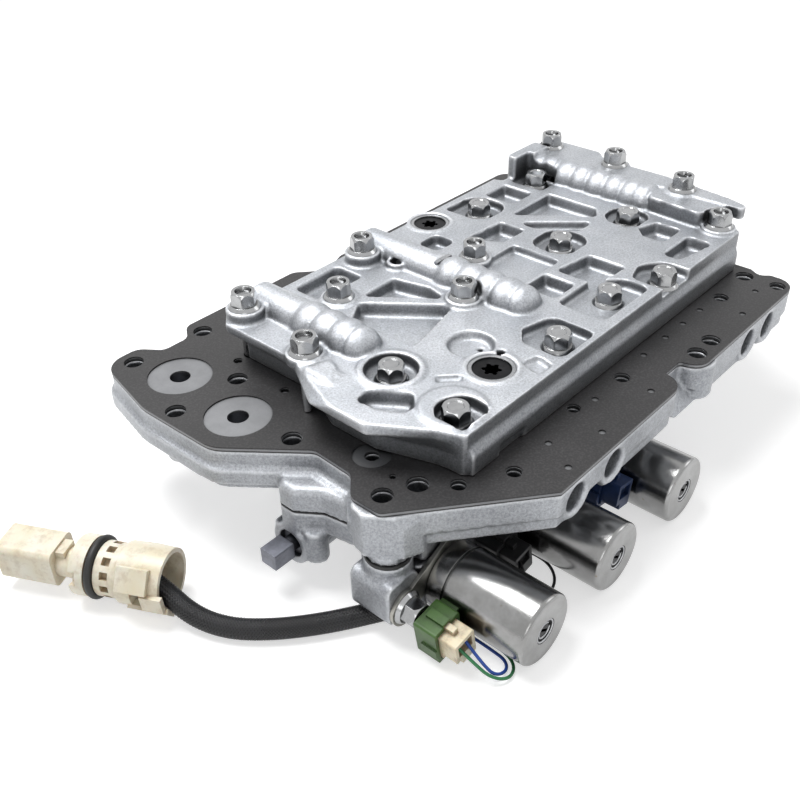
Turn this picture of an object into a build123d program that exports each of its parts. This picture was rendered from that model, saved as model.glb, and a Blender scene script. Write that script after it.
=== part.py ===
from build123d import *
import math
import os

# Transmission valve body, millimetres. While the pieces are made, z = 0 is the top face of
# the upper gasket, x runs along the long side, y runs towards the back, and x = y = 0 is
# the front corner of the upper body. At the end everything is moved so that the origin is
# the middle of the underside.

# Upper body, a die casting
cover_length = 212.0
cover_depth = 131.0
cover_height = 19.0
cover_foot_height = 8.5
cover_foot_step = 2.0
cover_rim_bottom = 15.3
cover_left_rim = -5.0
cover_corner_rim = -18.3
cover_bed_depth = 0.1
cover_bed_margin = 0.3
pocket_depth = 6.0
bolt_pocket_depth = 4.5
pocket_slope = 10.0

# The stack of sheets between the castings
upper_gasket_thickness = 0.6
plate_thickness = 1.0
lower_gasket_thickness = 0.5
seam_gasket_thickness = 0.6

# Lower body, the casting with the case bolt holes
flange_front = -31.0
flange_right = 214.0
flange_back = 159.0
flange_left = -50.0
hidden_right = 236.0
flange_thickness = 17.0
flange_step_depth = 11.0
flange_step = 1.2
deck_depth = 20.0
deck_bulge = 2.0
deck_inset = 9.0
case_bolt_hole_radius = 4.0
case_bolt_boss_radius = 6.2
gasket_hole_allowance = 0.3

# Bottom body, the casting that carries the solenoids
bottom_thickness = 14.0
bottom_block_depth = 35.0
bottom_front = 5.0
bottom_left = -38.0
bottom_right = 172.0
bottom_back = 128.0

# Linear solenoids, seen from the end plate back to the nose
solenoid_x = [-5.5, 43.8, 96.7]
solenoid_z = -46.0
can_diameter = 30.0
can_front = -43.0
can_length = 37.0
can_edge = 1.6
can_collar_length = 8.0
nose_diameter = 17.0
nose_length = 24.0
nose_clearance = 0.05
adjuster_diameter = 9.0

# Flange bolts, M6 with a 10 mm hexagon
bolt_shank = 5.9
bolt_thread_hole = 6.0
bolt_clearance_hole = 6.5
bolt_flange = 14.2
bolt_flange_thickness = 1.6
bolt_hex = 10.0
bolt_head_height = 7.5
bolt_recess = 6.4
bolt_recess_depth = 1.6
bolt_dish = 6.8
bolt_dish_depth = 0.35
pocket_bolt_length = 30.0
deck_bolt_length = 36.0
ledge_bolt_length = 44.0
bracket_bolt_length = 16.0
bottom_bolt_length = 24.0

# Spool valves
spool_clearance = 0.04
lower_bore_diameter = 11.5
key_thickness = 2.0
key_clearance = 0.1
spool_travel = 5.0
spring_wall = 0.8
spring_clearance = 0.4

# Accumulators under the two large openings of the gasket
accumulator_radius = 12.0
accumulator_depth = 16.5
accumulator_clearance = 0.06
accumulator_piston_height = 8.0
accumulator_travel = 5.0
accumulator_well = 5.0
accumulator_well_wall = 1.6

# Manual valve, which the selector lever slides
manual_y = 58.3
manual_z = -41.8
manual_bore_diameter = 12.0
manual_travel_in = 4.0
manual_travel_out = 12.0

# Case connector on the harness, lying on its side
connector_bell_end = (-78.0, 84.0, -47.8)
connector_heading = (-0.46, 0.887, 0.0)
connector_radius = 12.4
harness_diameter = 8.6

# Levels that follow from the sizes above
plate_top = -upper_gasket_thickness
plate_bottom = plate_top - plate_thickness
casting_top = plate_bottom - lower_gasket_thickness
flange_bottom = casting_top - flange_thickness
deck_bottom = casting_top - deck_depth
seam_bottom = deck_bottom - seam_gasket_thickness
shelf_bottom = seam_bottom - bottom_thickness
block_bottom = seam_bottom - bottom_block_depth
floor_level = solenoid_z - can_diameter / 2


def rounded(corners):
    """Closed face whose corners are (x, y, radius)."""
    points = [(x, y) for x, y, radius in corners]
    radii = [radius for x, y, radius in corners]
    return make_face(FilletPolyline(*points, radius=radii, close=True))


def slab(face, bottom, top):
    """The face extruded from one level to another."""
    return Pos(0, 0, bottom) * extrude(face, amount=top - bottom)


def drum(x, y, radius, bottom, top):
    """Upright cylinder between two levels."""
    return Pos(x, y, bottom) * Cylinder(
        radius, top - bottom, align=(Align.CENTER, Align.CENTER, Align.MIN)
    )


def block(x0, x1, y0, y1, z0, z1):
    """Box between six planes."""
    return Pos((x0 + x1) / 2, (y0 + y1) / 2, (z0 + z1) / 2) * Box(x1 - x0, y1 - y0, z1 - z0)


def rod_y(x, z, radius, y0, y1):
    """Cylinder along y."""
    return Pos(x, (y0 + y1) / 2, z) * Rot(90, 0, 0) * Cylinder(radius, y1 - y0)


def rod_x(y, z, radius, x0, x1):
    """Cylinder along x."""
    return Pos((x0 + x1) / 2, y, z) * Rot(0, 90, 0) * Cylinder(radius, x1 - x0)


# Outline of the gaskets, the plate and the lower body, seen from above
sheet_outline = [
    (-34.5, 11, 4),
    (16.5, flange_front, 1),
    (106, flange_front, 9),
    (106.5, -21.5, 1),
    (118.5, -21.5, 2),
    (121, flange_front, 8),
    (flange_right, flange_front, 9),
    (flange_right, -18, 3),
    (flange_right - 3.5, -13.5, 4),
    (flange_right, -8, 3),
    (flange_right, 22, 3),
    (hidden_right, 22, 8),
    (hidden_right, flange_back, 8),
    (96, flange_back, 6),
    (88, flange_back - 3, 6),
    (77, flange_back - 3, 5),
    (68, flange_back + 5.5, 6),
    (1, flange_back + 5.5, 6),
    (-5, flange_back - 3, 5),
    (-18, flange_back - 3, 5),
    (-25, flange_back + 7, 7),
    (-42, flange_back + 7, 11),
    (flange_left, 128, 30),
    (flange_left + 1, 86, 14),
    (-24, 54, 6),
    (-25, 34, 6),
    (-34.5, 25, 5),
]

# Holes that go through the lower body for the bolts into the case
case_bolts = [
    (-11.6, 113.7),
    (-43.0, 115.2),
    (-32.4, 158.3),
    (3.3, 155.4),
    (129.4, -24.0),
    (205.4, -8.6),
]
# Oil passages that stop inside the lower body: x, y, radius
passages = [
    (-12.1, 35.3, 3.0),
    (-24.9, 65.9, 4.0),
    (-2.4, 124.1, 1.8),
    (-4.4, 92.1, 1.8),
    (-13.7, 11.0, 4.2),
    (-16.5, 20.8, 1.2),
    (-4.4, -0.5, 3.0),
    (14.5, -11.4, 3.0),
    (61.5, -6.0, 2.7),
    (92.6, -9.2, 3.2),
    (179.4, -9.5, 3.3),
    (206.2, -25.0, 3.5),
    (142.4, -23.7, 4.0),
]
# Small holes of the upper gasket that show the plate
sight_holes = [
    (36.5, -11.3),
    (72.3, -9.2),
    (113.3, -7.3),
    (131.9, -7.3),
    (147.2, -7.5),
    (162.9, -7.5),
    (29.4, -25.1),
    (55.6, -23.1),
    (91.8, -23.4),
    (172.1, -24.0),
    (195.2, -19.1),
]
sight_radius = 1.5
# Round openings of the upper gasket over the accumulators: x, y, radius, hole in the plate
windows = [
    (-25.8, 134.5, 13.9, 4.4),
    (-28.6, 93.5, 13.9, 4.4),
    (-12.1, 35.3, 7.8, 3.0),
]

# Bolts of the upper body: x, y, level of the seat
deck_seat = cover_height + 1
high_seat = cover_height + 5
deck_bolts = [
    (5.0, 124.0, high_seat),
    (41.4, 104.3, deck_seat),
    (1.3, 83.5, deck_seat),
    (74.0, 121.0, high_seat),
    (108.3, 82.1, deck_seat),
    (75.0, 61.4, deck_seat + 1),
    (206.5, 9.3, deck_seat + 1),
]
pocket_seat = cover_height - bolt_pocket_depth
pocket_bolts = [
    (14.5, 49.0, pocket_seat),
    (9.0, 12.0, pocket_seat),
    (75.5, 12.5, pocket_seat),
    (119.5, 16.0, pocket_seat),
    (149.0, 6.0, pocket_seat),
    (148.5, 61.0, pocket_seat),
    (191.0, 50.0, pocket_seat + 1),
    (199.0, 111.5, pocket_seat + 2),
    (153.5, 114.5, pocket_seat),
]
ledge_height = cover_height + 9
ledge_bolts = [
    (226.0, 121.0, ledge_height),
    (226.0, 80.5, ledge_height),
    (219.5, 37.0, ledge_height),
]
cover_bolt_places = deck_bolts + pocket_bolts + ledge_bolts

# Valve barrels of the upper body: x, z, outer radius, bore, start, end, key, humps
barrels = [
    dict(x=19.0, z=18.0, radius=9.0, bore=11.0, start=62.0, key=112.0, humps=4, up=False),
    dict(x=88.0, z=18.0, radius=9.0, bore=10.0, start=32.0, key=84.0, humps=5, up=True),
    dict(x=212.0, z=19.0, radius=9.0, bore=11.0, start=44.0, key=112.0, humps=8, up=False),
]
hump_pitch = 10.0
hump_rise = 1.3
barrel_wall_end = 7.0
barrel_front_round = 5.0

# Valve bores in the front face of the lower body
lower_bore_x = [28.0, 54.0, 168.0, 188.0]
lower_bore_z = -11.0
lower_boss_radius = 8.8
lower_bore_depth = 74.0
lower_key_y = flange_front + 10.0

# Threaded plugs of the upper body: x, y
torx_plugs = [(41.0, 20.0), (124.6, 122.9)]
plug_ring_radius = 9.6
plug_radius = 8.0


def round_holes(places):
    """Round holes of a sheet: x, y, radius."""
    return [Pos(x, y) * Circle(radius) for x, y, radius in places]


def bolt_holes():
    """Holes shared by every sheet between the castings."""
    holes = [(x, y, case_bolt_hole_radius + gasket_hole_allowance) for x, y in case_bolts]
    holes.append(foot_passage)
    return holes + [(x, y, bolt_clearance_hole / 2) for x, y, seat in cover_bolt_places]


def upper_gasket():
    holes = bolt_holes() + [(x, y, sight_radius) for x, y in sight_holes]
    holes += [(x, y, radius + gasket_hole_allowance) for x, y, radius in passages[1:]]
    holes += [(x, y, radius) for x, y, radius, hole in windows]
    sheet = slab(rounded(sheet_outline) - round_holes(holes), plate_top, 0)
    # The clamped upper body presses a shallow bed into the sheet
    margin = cover_bed_margin
    foot, fin = cover_footprint()
    faces = [offset(foot, amount=margin), offset(fin, amount=margin)]
    step = block(2 - margin, cover_length, -cover_foot_step - margin, 5, -cover_bed_depth, 1)
    return sheet - [slab(face, -cover_bed_depth, 1) for face in faces] - step


def separator_plate():
    holes = bolt_holes() + passages[1:] + [(x, y, hole) for x, y, radius, hole in windows]
    return slab(rounded(sheet_outline) - round_holes(holes), plate_bottom, plate_top)


def lower_gasket():
    holes = bolt_holes() + passages
    holes += [(x, y, accumulator_radius) for x, y, radius, hole in windows[:2]]
    return slab(rounded(sheet_outline) - round_holes(holes), casting_top, plate_bottom)


# Oil passage that goes down through the foot of the lower body
foot_passage = (-26.6, 16.7, 4.2)
foot_x = -27.6
foot_y = 14.0
foot_radius = 8.4
foot_drop = 2.4
seal_thickness = 1.4
neck_top = casting_top - 9.0
neck_round = 3.0
bottom_bolts = [
    (-8, 96),
    (20, 116),
    (70, 114),
    (110, 112),
    (138, 116),
    (160, 60),
    (140, 14),
    (100, 62),
    (20, 82),
]
bottom_bolt_seat = shelf_bottom
feet = [(60, 96), (150, 96), (158, 32)]
bracket_bolt_x = -30.5
bracket_bolt_z = -45.0
bracket_plane = 4.0
bracket_thickness = 1.6


def lower_body():
    outline = rounded(sheet_outline)
    left = Pos(-60, 98) * Rectangle(92, 150)
    step_level = casting_top - flange_step_depth
    solids = [
        slab(outline, step_level, casting_top),
        slab(offset(outline, amount=-flange_step), flange_bottom, step_level),
        # The left end is deeper, with a swell under a ledge in its wall
        slab(offset(outline, amount=deck_bulge) & left, deck_bottom + 5, casting_top - 8),
        slab(offset(outline, amount=-deck_bulge) & left, deck_bottom, deck_bottom + 5),
        # The deck below the flange, where the bottom body is bolted on
        slab(offset(outline, amount=-deck_inset), deck_bottom, flange_bottom),
        # Wall over the seam of the bottom body, and the front corner with its round foot
        neck(),
        corner_block(),
        drum(foot_x, foot_y, foot_radius, seam_bottom - foot_drop, deck_bottom),
    ]
    for x in lower_bore_x:
        solids.append(rod_y(x, lower_bore_z, lower_boss_radius, flange_front, flange_front + 24))
    # Boss and sloping web in the front notch
    notch_x, notch_y = case_bolts[4]
    solids.append(drum(notch_x, notch_y, 8.5, flange_bottom, casting_top))
    for x, y in case_bolts[:4] + case_bolts[5:]:
        solids.append(drum(x, y, case_bolt_boss_radius, deck_bottom, casting_top))
    web = Polyline(
        (-21.0, flange_bottom + 0.5),
        (flange_front + 1.5, flange_bottom + 0.5),
        (-21.0, casting_top - 6),
        close=True,
    )
    solids.append(Plane.YZ.offset(104.5) * extrude(make_face(web), amount=18))
    body = solids[0] + solids[1:]
    # Recesses of the underside between the bosses of each pair
    cuts = []
    for a, b in ((0, 1), (2, 3)):
        middle = (lower_bore_x[a] + lower_bore_x[b]) / 2
        half = (lower_bore_x[b] - lower_bore_x[a]) / 2 - lower_boss_radius + 3
        cuts.append(rod_y(middle, flange_bottom - 2, half, flange_front - 1, flange_front + 12))
    # Spool bores with a chamfered mouth
    for x in lower_bore_x:
        inner = flange_front + lower_bore_depth
        radius = lower_bore_diameter / 2
        cuts.append(rod_y(x, lower_bore_z, radius, flange_front - 1, inner))
        mouth = Cone(radius, radius + 1.3, 1.3)
        cuts.append(Pos(x, flange_front + 0.65, lower_bore_z) * Rot(90, 0, 0) * mouth)
        half = key_thickness / 2 + key_clearance
        width = radius + key_clearance
        cuts.append(
            block(x - width, x + width, lower_key_y - half, lower_key_y + half,
                  flange_bottom - 1, lower_bore_z)
        )
    for x, y in case_bolts:
        cuts.append(drum(x, y, case_bolt_hole_radius, deck_bottom - 8, casting_top + 1))
    for x, y, radius in passages:
        cuts.append(drum(x, y, radius, casting_top - 9, casting_top + 1))
    x, y, radius = foot_passage
    cuts.append(drum(x, y, radius, deck_bottom - 8, casting_top + 1))
    for x, y, radius, hole in windows[:2]:
        bottom = casting_top - accumulator_depth
        cuts.append(drum(x, y, accumulator_radius, bottom, casting_top + 1))
    for places, length in bolt_sets():
        for x, y, seat in places:
            tip = seat - length - 1
            cuts.append(drum(x, y, bolt_thread_hole / 2, tip, casting_top + 1))
    for x, y in bottom_bolts:
        top = bottom_bolt_seat + bottom_bolt_length + 1
        cuts.append(drum(x, y, bolt_thread_hole / 2, deck_bottom - 1, top))
    return body - cuts


def neck():
    """Wall that stands over the seam on the left, with a rounded shoulder."""
    face = seam_outline(0) & Pos(-30, 66) * Rectangle(60, 126)
    wall = slab(face, deck_bottom, neck_top)
    return fillet(wall.edges().group_by(Axis.Z)[-1], neck_round)


def corner_block():
    """Front corner of the casting, with a sloping facet towards the front."""
    corners = [
        (-38, 16.5, 1), (-29.6, 4.1, 0.5), (-21.6, 0.6, 1), (-16, 10, 1), (-20, 24, 1), (-36, 25, 3),
    ]
    facet = Plane(origin=(-29.6, 4.1, -8.0), z_dir=(-45.0, -78.6, 24.6))
    outside = facet * Box(90, 90, 30, align=(Align.CENTER, Align.CENTER, Align.MIN))
    return slab(rounded(corners), deck_bottom, casting_top) - outside


def bolt_sets():
    """Places of the upper body bolts with the length of each kind."""
    return (
        (pocket_bolts, pocket_bolt_length),
        (deck_bolts, deck_bolt_length),
        (ledge_bolts, ledge_bolt_length),
    )


def humped_barrel(barrel):
    """Barrel with a soft swell for each land of its valve, revolved about its bore."""
    radius = barrel["radius"]
    y = barrel["start"]
    shoulder = y + barrel_front_round
    outline = [ThreePointArc((0, y), (radius * 0.74, y + barrel_front_round * 0.34),
                             (radius, shoulder))]
    for n in range(barrel["humps"]):
        front = max(y, shoulder)
        back = y + hump_pitch
        swell = (radius + hump_rise * (back - front) / hump_pitch, (front + back) / 2)
        outline.append(ThreePointArc((radius, front), swell, (radius, back)))
        y = back
    back = cover_depth
    outline.append(Line((radius, y), (radius, back)))
    outline.append(Line((radius, back), (0, back)))
    outline.append(Line((0, back), (0, barrel["start"])))
    return Pos(barrel["x"], 0, barrel["z"]) * revolve(make_face(outline), Axis.Y)


def key_slot(barrel):
    """Slot for the key behind the plug, open at the top or towards the gasket."""
    half = barrel["bore"] / 2 + key_clearance
    thick = key_thickness / 2 + key_clearance
    x, y, z = barrel["x"], barrel["key"], barrel["z"]
    low, high = (z, z + barrel["radius"] + 5) if barrel["up"] else (-1, z)
    return block(x - half, x + half, y - thick, y + thick, low, high)


# Rim of the upper body at its top, its lower edge, and the narrower foot
cover_back = cover_depth - 5
cover_front_run = [
    (0, 0, 2),
    (cover_length, 0, 2),
    (cover_length, 16, 3),
    (226, 26, 6),
    (232, cover_back, 5),
    (188, cover_back, 3),
    (188, cover_depth, 2),
]
cover_top = cover_front_run + [
    (cover_left_rim + 5, cover_depth, 5),
    (cover_left_rim, cover_depth - 5, 3),
    (cover_left_rim, 85, 4),
    (cover_corner_rim, 50, 4),
    (cover_corner_rim, 33.5, 4),
    (-4, 10, 3),
]
cover_low = cover_front_run + [
    (cover_left_rim + 5, cover_depth, 5),
    (cover_left_rim, cover_depth - 5, 3),
    (cover_left_rim, 85, 4),
    (cover_corner_rim - 0.5, 62, 4),
    (cover_corner_rim - 1, 31.5, 4),
    (-5, 12, 3),
]
cover_foot = cover_front_run + [
    (8, cover_depth, 5),
    (2, cover_depth - 6, 3),
    (2, 84, 4),
    (-9, 60, 4),
    (-9, 36, 4),
    (-1, 12, 3),
]
# Pointed rib that comes down to the gasket at the left
cover_fin = [(3, 91, 1), (-10.4, 73.8, 0.5), (-8.4, 72.2, 0.5), (4, 80, 1)]

# Pockets of the upper body: corners (x, y, radius), and their depth
pockets = [
    ([(33, 53, 3), (66, 61, 2), (66, 66, 2), (44, 95, 3), (33, 88, 3)], pocket_depth),
    ([(49, 98, 2), (70, 98, 2), (74, 80, 4), (71, 68, 2)], pocket_depth),
    ([(35, 110, 2), (62, 110, 2), (62, 126, 3), (35, 126, 3)], pocket_depth),
    ([(101, 50, 2), (131, 50, 2), (131, 76, 2), (101, 76, 2)], 3.5),
    ([(101, 32, 2), (117, 32, 2), (117, 48, 2), (101, 48, 2)], pocket_depth),
    ([(123, 25, 2), (145, 23, 2), (145, 43, 3), (123, 46, 2)], pocket_depth),
    ([(178, 23, 2), (195, 23, 2), (195, 36, 2), (184, 40, 2), (178, 34, 2)], pocket_depth),
    ([(167, 8, 3), (191, 4, 3), (191, 17, 3), (167, 17, 3)], pocket_depth),
    ([(157, 97, 2), (190, 97, 2), (190, 68, 2), (182, 62, 3)], pocket_depth),
    ([(152, 90, 2), (176, 61, 2), (163, 60, 3), (152, 78, 3)], 4.0),
    ([(168, 104, 2), (185, 104, 2), (185, 122, 2), (168, 122, 2)], pocket_depth),
    ([(122, 98, 2), (147, 96, 2), (147, 81, 2), (130, 81, 3)], pocket_depth),
    ([(103, 100, 3), (116, 100, 3), (116, 112, 3), (103, 112, 3)], 5.0),
    ([(-9, 46, 3), (-1.5, 47, 3), (8.5, 32, 3), (2, 26, 3), (-3, 26, 3), (-8.5, 37, 3)],
     pocket_depth),
    ([(22, 33, 1.5), (29.5, 25.5, 1.5), (26.5, 22.5, 1.5), (19, 30, 1.5)], 1.5),
    ([(48.5, 3, 2), (57.5, 3, 2), (59.5, 11, 2), (51, 13.5, 2)], 2.0),
]
# Pockets round the bolts that stand low: corners (x, y, radius)
bolt_wells = [
    [(3.6, 38.1, 10.8), (25.4, 38.1, 10.8), (25.4, 59.9, 10.8), (3.6, 59.9, 10.8)],
    [(1.5, 3, 3), (19, 3, 4), (20, 16, 8), (8, 22, 8), (1.5, 16, 3)],
    [(64, 3, 3), (88, 3, 3), (88, 24, 6), (72, 28, 4), (64, 22, 3)],
    [(99, 5, 4), (135, 5, 4), (135, 18, 7), (124, 29, 7), (99, 29, 3)],
    [(138, -3, 1), (161, -3, 1), (161, 12, 9), (151, 20, 8), (138, 16, 5)],
    [(136, 50, 8), (160, 50, 9), (160, 72, 9), (136, 72, 8)],
    [(180, 41, 8), (201, 41, 8), (201, 62, 9), (182, 60, 9)],
    [(191, 102, 2), (206, 102, 3), (206, 122, 2), (191, 122, 2)],
    [(141, 103, 9), (165, 103, 9), (165, 126, 10), (141, 127, 3)],
]
raised_rings = [(14.5, 49, 13.6), (10.5, 14.5, 13.0)]
corner_pad = [(-8.3, 76.0, 2), (-9.0, 62.5, 2), (0.8, 64.8, 2), (3.5, 71.5, 2)]
shallow_dish = (49.3, 37.0)


def cover_footprint():
    """Faces of the foot and of the pointed rib on the gasket."""
    return rounded(cover_foot), rounded(cover_fin)


def cover_base():
    """Slab of the upper body: foot, sloping underside, rim and front step."""
    foot, fin = cover_footprint()
    levels = ((cover_foot, cover_foot_height), (cover_low, cover_rim_bottom),
              (cover_top, cover_height))
    rim = loft([Pos(0, 0, level) * rounded(corners) for corners, level in levels], ruled=True)
    wedge = Polyline(
        (0.5, cover_foot_height + 5.5),
        (-cover_foot_step, cover_foot_height),
        (-cover_foot_step, -cover_bed_depth),
        (0.5, -cover_bed_depth),
        close=True,
    )
    step = Plane.YZ.offset(2) * extrude(make_face(wedge), amount=cover_length - 5)
    step -= block(18.5, 33.5, -cover_foot_step - 1, -0.8, -1, 5)
    return slab(foot, -cover_bed_depth, cover_foot_height) + [
        rim, step, slab(fin, -cover_bed_depth, cover_rim_bottom + 1),
    ]


def pocket(corners, bottom):
    """Hollow of the top face with sloping walls."""
    depth = cover_height - bottom
    hollow = extrude(Pos(0, 0, cover_height) * rounded(corners), amount=-depth, taper=pocket_slope)
    return hollow + slab(rounded(corners), cover_height, cover_height + 1)


def cover_pockets():
    wells = [pocket(corners, cover_height - depth) for corners, depth in pockets]
    x, y = shallow_dish
    dish = Cone(8.6, 10.2, 4.0, align=(Align.CENTER, Align.CENTER, Align.MIN))
    return wells + [Pos(x, y, cover_height - 3.5) * dish]


def cover_bosses():
    """Barrels, the ledge behind the long ridge, the head of the ridge, and round bosses."""
    solids = [humped_barrel(barrel) for barrel in barrels]
    ledge = [
        (216, 3, 2), (221, 3, 2), (224, 13, 3), (229, 50, 4), (229, 88, 4),
        (236, 96, 4), (236, 124, 5), (216, 124, 2),
    ]
    solids.append(slab(rounded(ledge), ledge_height - 6, ledge_height))
    solids.append(block(216, 228, 28, 124, cover_height - 8, ledge_height - 5))
    shoulder = [(201, 18, 3), (218, 10, 3), (218, 47, 3), (203, 47, 3)]
    solids.append(slab(rounded(shoulder), 12, ledge_height - 1))
    ridge_head = [(194, 118, 2), (220, 118, 2), (220, 128, 3), (194, 128, 3)]
    solids.append(slab(rounded(ridge_head), cover_height - 4, cover_height + 12))
    # Bosses under the bolts that stand high
    for x, y, seat in deck_bolts + ledge_bolts:
        solids.append(drum(x, y, bolt_flange / 2 + 1.2, cover_rim_bottom, seat))
    # Raised rings round two of the bolts that stand low
    for x, y, radius in raised_rings:
        solids.append(drum(x, y, radius, cover_height - 2, cover_height + 1))
    # Rings round the two threaded plugs, a drilled boss and a raised pad
    for x, y in torx_plugs:
        solids.append(drum(x, y, plug_ring_radius + 2, cover_foot_height, cover_height + 0.6))
    solids.append(drum(80, 105, 5, cover_foot_height, cover_height + 2.5))
    solids += [slab(rounded(corner_pad), cover_rim_bottom, cover_height + 1.5), pad_slope()]
    return solids


def pad_slope():
    """Ramp from the corner pad down to the deck."""
    ramp = Polyline(
        (0, cover_height + 1.5), (7.5, cover_height - 0.5), (7.5, cover_rim_bottom),
        (0, cover_rim_bottom), close=True,
    )
    body = Plane.YZ * extrude(make_face(ramp), amount=8.5)
    return Pos(-0.6, 65.0, 0) * Rot(0, 0, 193) * body


def cover_cuts():
    """Bolt pockets, plug seats, valve bores and bolt holes."""
    cuts = []
    for corners, (x, y, seat) in zip(bolt_wells, pocket_bolts):
        cuts.append(slab(rounded(corners), seat, cover_height + 25))
    for x, y in torx_plugs:
        cuts.append(drum(x, y, plug_ring_radius, cover_height - 3, cover_height + 4))
        cuts.append(drum(x, y, plug_radius, cover_height - 11, cover_height))
    cuts.append(drum(80, 105, 3, cover_height - 5, cover_height + 3))
    cuts.append(drum(52, 24, 1.8, cover_height - 5, cover_height + 3))
    cuts.append(drum(52.5, 34.5, 1.2, cover_height - 7, cover_height))
    for barrel in barrels:
        start = barrel["start"] + barrel_wall_end
        radius = barrel["bore"] / 2
        cuts.append(rod_y(barrel["x"], barrel["z"], radius, start, cover_depth + 3))
        cuts.append(key_slot(barrel))
    for x, y, seat in cover_bolt_places:
        cuts.append(drum(x, y, bolt_clearance_hole / 2, -1, seat + 12))
        cuts.append(drum(x, y, bolt_flange / 2 + 0.4, seat, seat + 14))
    return cuts


def upper_body():
    return (cover_base() - cover_pockets() + cover_bosses()) - cover_cuts()


def flange_bolt(length, hollow=True):
    """Flange bolt with its seat at z = 0; the hexagon is hollow on top or slightly dished."""
    align = (Align.CENTER, Align.CENTER, Align.MIN)
    shank = drum(0, 0, bolt_shank / 2, -length, 0)
    flange = Cone(bolt_flange / 2, bolt_flange / 2 - 1.2, bolt_flange_thickness, align=align)
    hexagon = RegularPolygon(bolt_hex / 2, 6, major_radius=False)
    crown = Cone(bolt_flange / 2 + 1.5, bolt_hex / 2 - 0.1, bolt_head_height, align=align)
    head = flange + (extrude(hexagon, amount=bolt_head_height) & crown)
    top = bolt_head_height
    if hollow:
        dip = drum(0, 0, bolt_recess / 2, top - bolt_recess_depth, top + 1)
    else:
        dip = Pos(0, 0, top - bolt_dish_depth) * Cone(
            bolt_dish / 2 - 1, bolt_dish / 2, bolt_dish_depth, align=align
        )
    return head + shank - dip


def group(shapes):
    """Separate solids kept together in one node."""
    solids = []
    for shape in shapes:
        solids += shape.solids()
    return Compound(children=solids)


def cover_bolts(places, length, hollow=True):
    bolt = flange_bolt(length, hollow)
    return group([Pos(*place) * bolt for place in places])


def bottom_bolt_group():
    """Bolts that hold the bottom body up to the lower body, heads down."""
    bolt = Rot(180, 0, 0) * flange_bolt(bottom_bolt_length)
    return group([Pos(x, y, bottom_bolt_seat) * bolt for x, y in bottom_bolts])


def bracket_bolt():
    bolt = Rot(90, 0, 0) * flange_bolt(bracket_bolt_length)
    return Pos(bracket_bolt_x, bracket_plane - bracket_thickness, bracket_bolt_z) * bolt


def spool(diameter, length, stem, lands):
    """Spool valve lying along y from 0 to its length, with equal lands and a front stem."""
    land = diameter / 2 - spool_clearance
    step = (length - stem) / (2 * lands - 1)
    body = rod_y(0, 0, diameter * 0.28, 0, length)
    rings = [rod_y(0, 0, land, stem + 2 * n * step, stem + (2 * n + 1) * step)
             for n in range(lands)]
    return body + rings


def spring_tube(x, z, bore, y0, y1):
    """Envelope of a coil spring along y."""
    outer = bore / 2 - spring_clearance
    return rod_y(x, z, outer, y0, y1) - rod_y(x, z, outer - spring_wall, y0, y1)


upper_stem = 3.0
plug_half = 5.0


def upper_spring_length(barrel):
    return 2.5 * spool_travel


def upper_valve(barrel):
    """Spool and spring of one barrel of the upper body, resting on the bore's end."""
    x, z, bore = barrel["x"], barrel["z"], barrel["bore"]
    start = barrel["start"] + barrel_wall_end
    plug_front = barrel["key"] - plug_half
    spring_start = plug_front - upper_spring_length(barrel)
    valve = Pos(x, start, z) * spool(bore, spring_start - start, upper_stem, 3)
    return valve, spring_tube(x, z, bore, spring_start, plug_front)


def bore_plug(barrel):
    """Plug between the spring and the key, with a slot for the key."""
    x, z, bore, key = barrel["x"], barrel["z"], barrel["bore"], barrel["key"]
    plug = rod_y(x, z, bore / 2 - spool_clearance, key - plug_half, key + plug_half)
    thick = key_thickness / 2 + key_clearance
    low, high = (z, z + bore) if barrel["up"] else (z - bore, z)
    return plug - block(x - bore, x + bore, key - thick, key + thick, low, high)


def bore_key(barrel):
    """Flat key that holds a plug in its bore."""
    x, z, bore, key = barrel["x"], barrel["z"], barrel["bore"], barrel["key"]
    reach = barrel["radius"] - 0.5
    low, high = (z + key_clearance, z + reach) if barrel["up"] else (z - reach, z - key_clearance)
    thick = key_thickness / 2
    return block(x - bore / 2, x + bore / 2, key - thick, key + thick, low, high)


def lower_valve(x):
    """Spool and spring of one bore of the lower body, the spool against its key."""
    front = lower_key_y + key_thickness / 2
    valve = Pos(x, front, lower_bore_z) * spool(lower_bore_diameter, lower_spool_length, 2.0, 3)
    start = front + lower_spool_length
    end = flange_front + lower_bore_depth
    return valve, spring_tube(x, lower_bore_z, lower_bore_diameter, start, end)


lower_spool_length = 40.0


def lower_key(x):
    thick = key_thickness / 2
    half = lower_bore_diameter / 2
    return block(x - half, x + half, lower_key_y - thick, lower_key_y + thick,
                 flange_bottom + 0.5, lower_bore_z - key_clearance)


def accumulator(x, y):
    """Cup piston against the plate with a well in its middle, and the spring round the well."""
    floor = casting_top - accumulator_depth
    crown = plate_bottom - accumulator_crown
    radius = accumulator_radius - accumulator_clearance
    inner = radius - accumulator_skirt
    low = plate_bottom - accumulator_piston_height
    tube = accumulator_well + accumulator_well_wall
    room = drum(x, y, inner, low, crown) - drum(x, y, tube, low, crown)
    well = drum(x, y, accumulator_well, low + accumulator_well_wall, plate_bottom)
    piston = drum(x, y, radius, low, plate_bottom) - [room, well]
    outer = inner - spring_clearance
    spring = drum(x, y, outer, floor, crown) - drum(x, y, outer - 1.2, floor, crown)
    return piston, spring


accumulator_crown = 2.5
accumulator_skirt = 2.5


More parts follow.
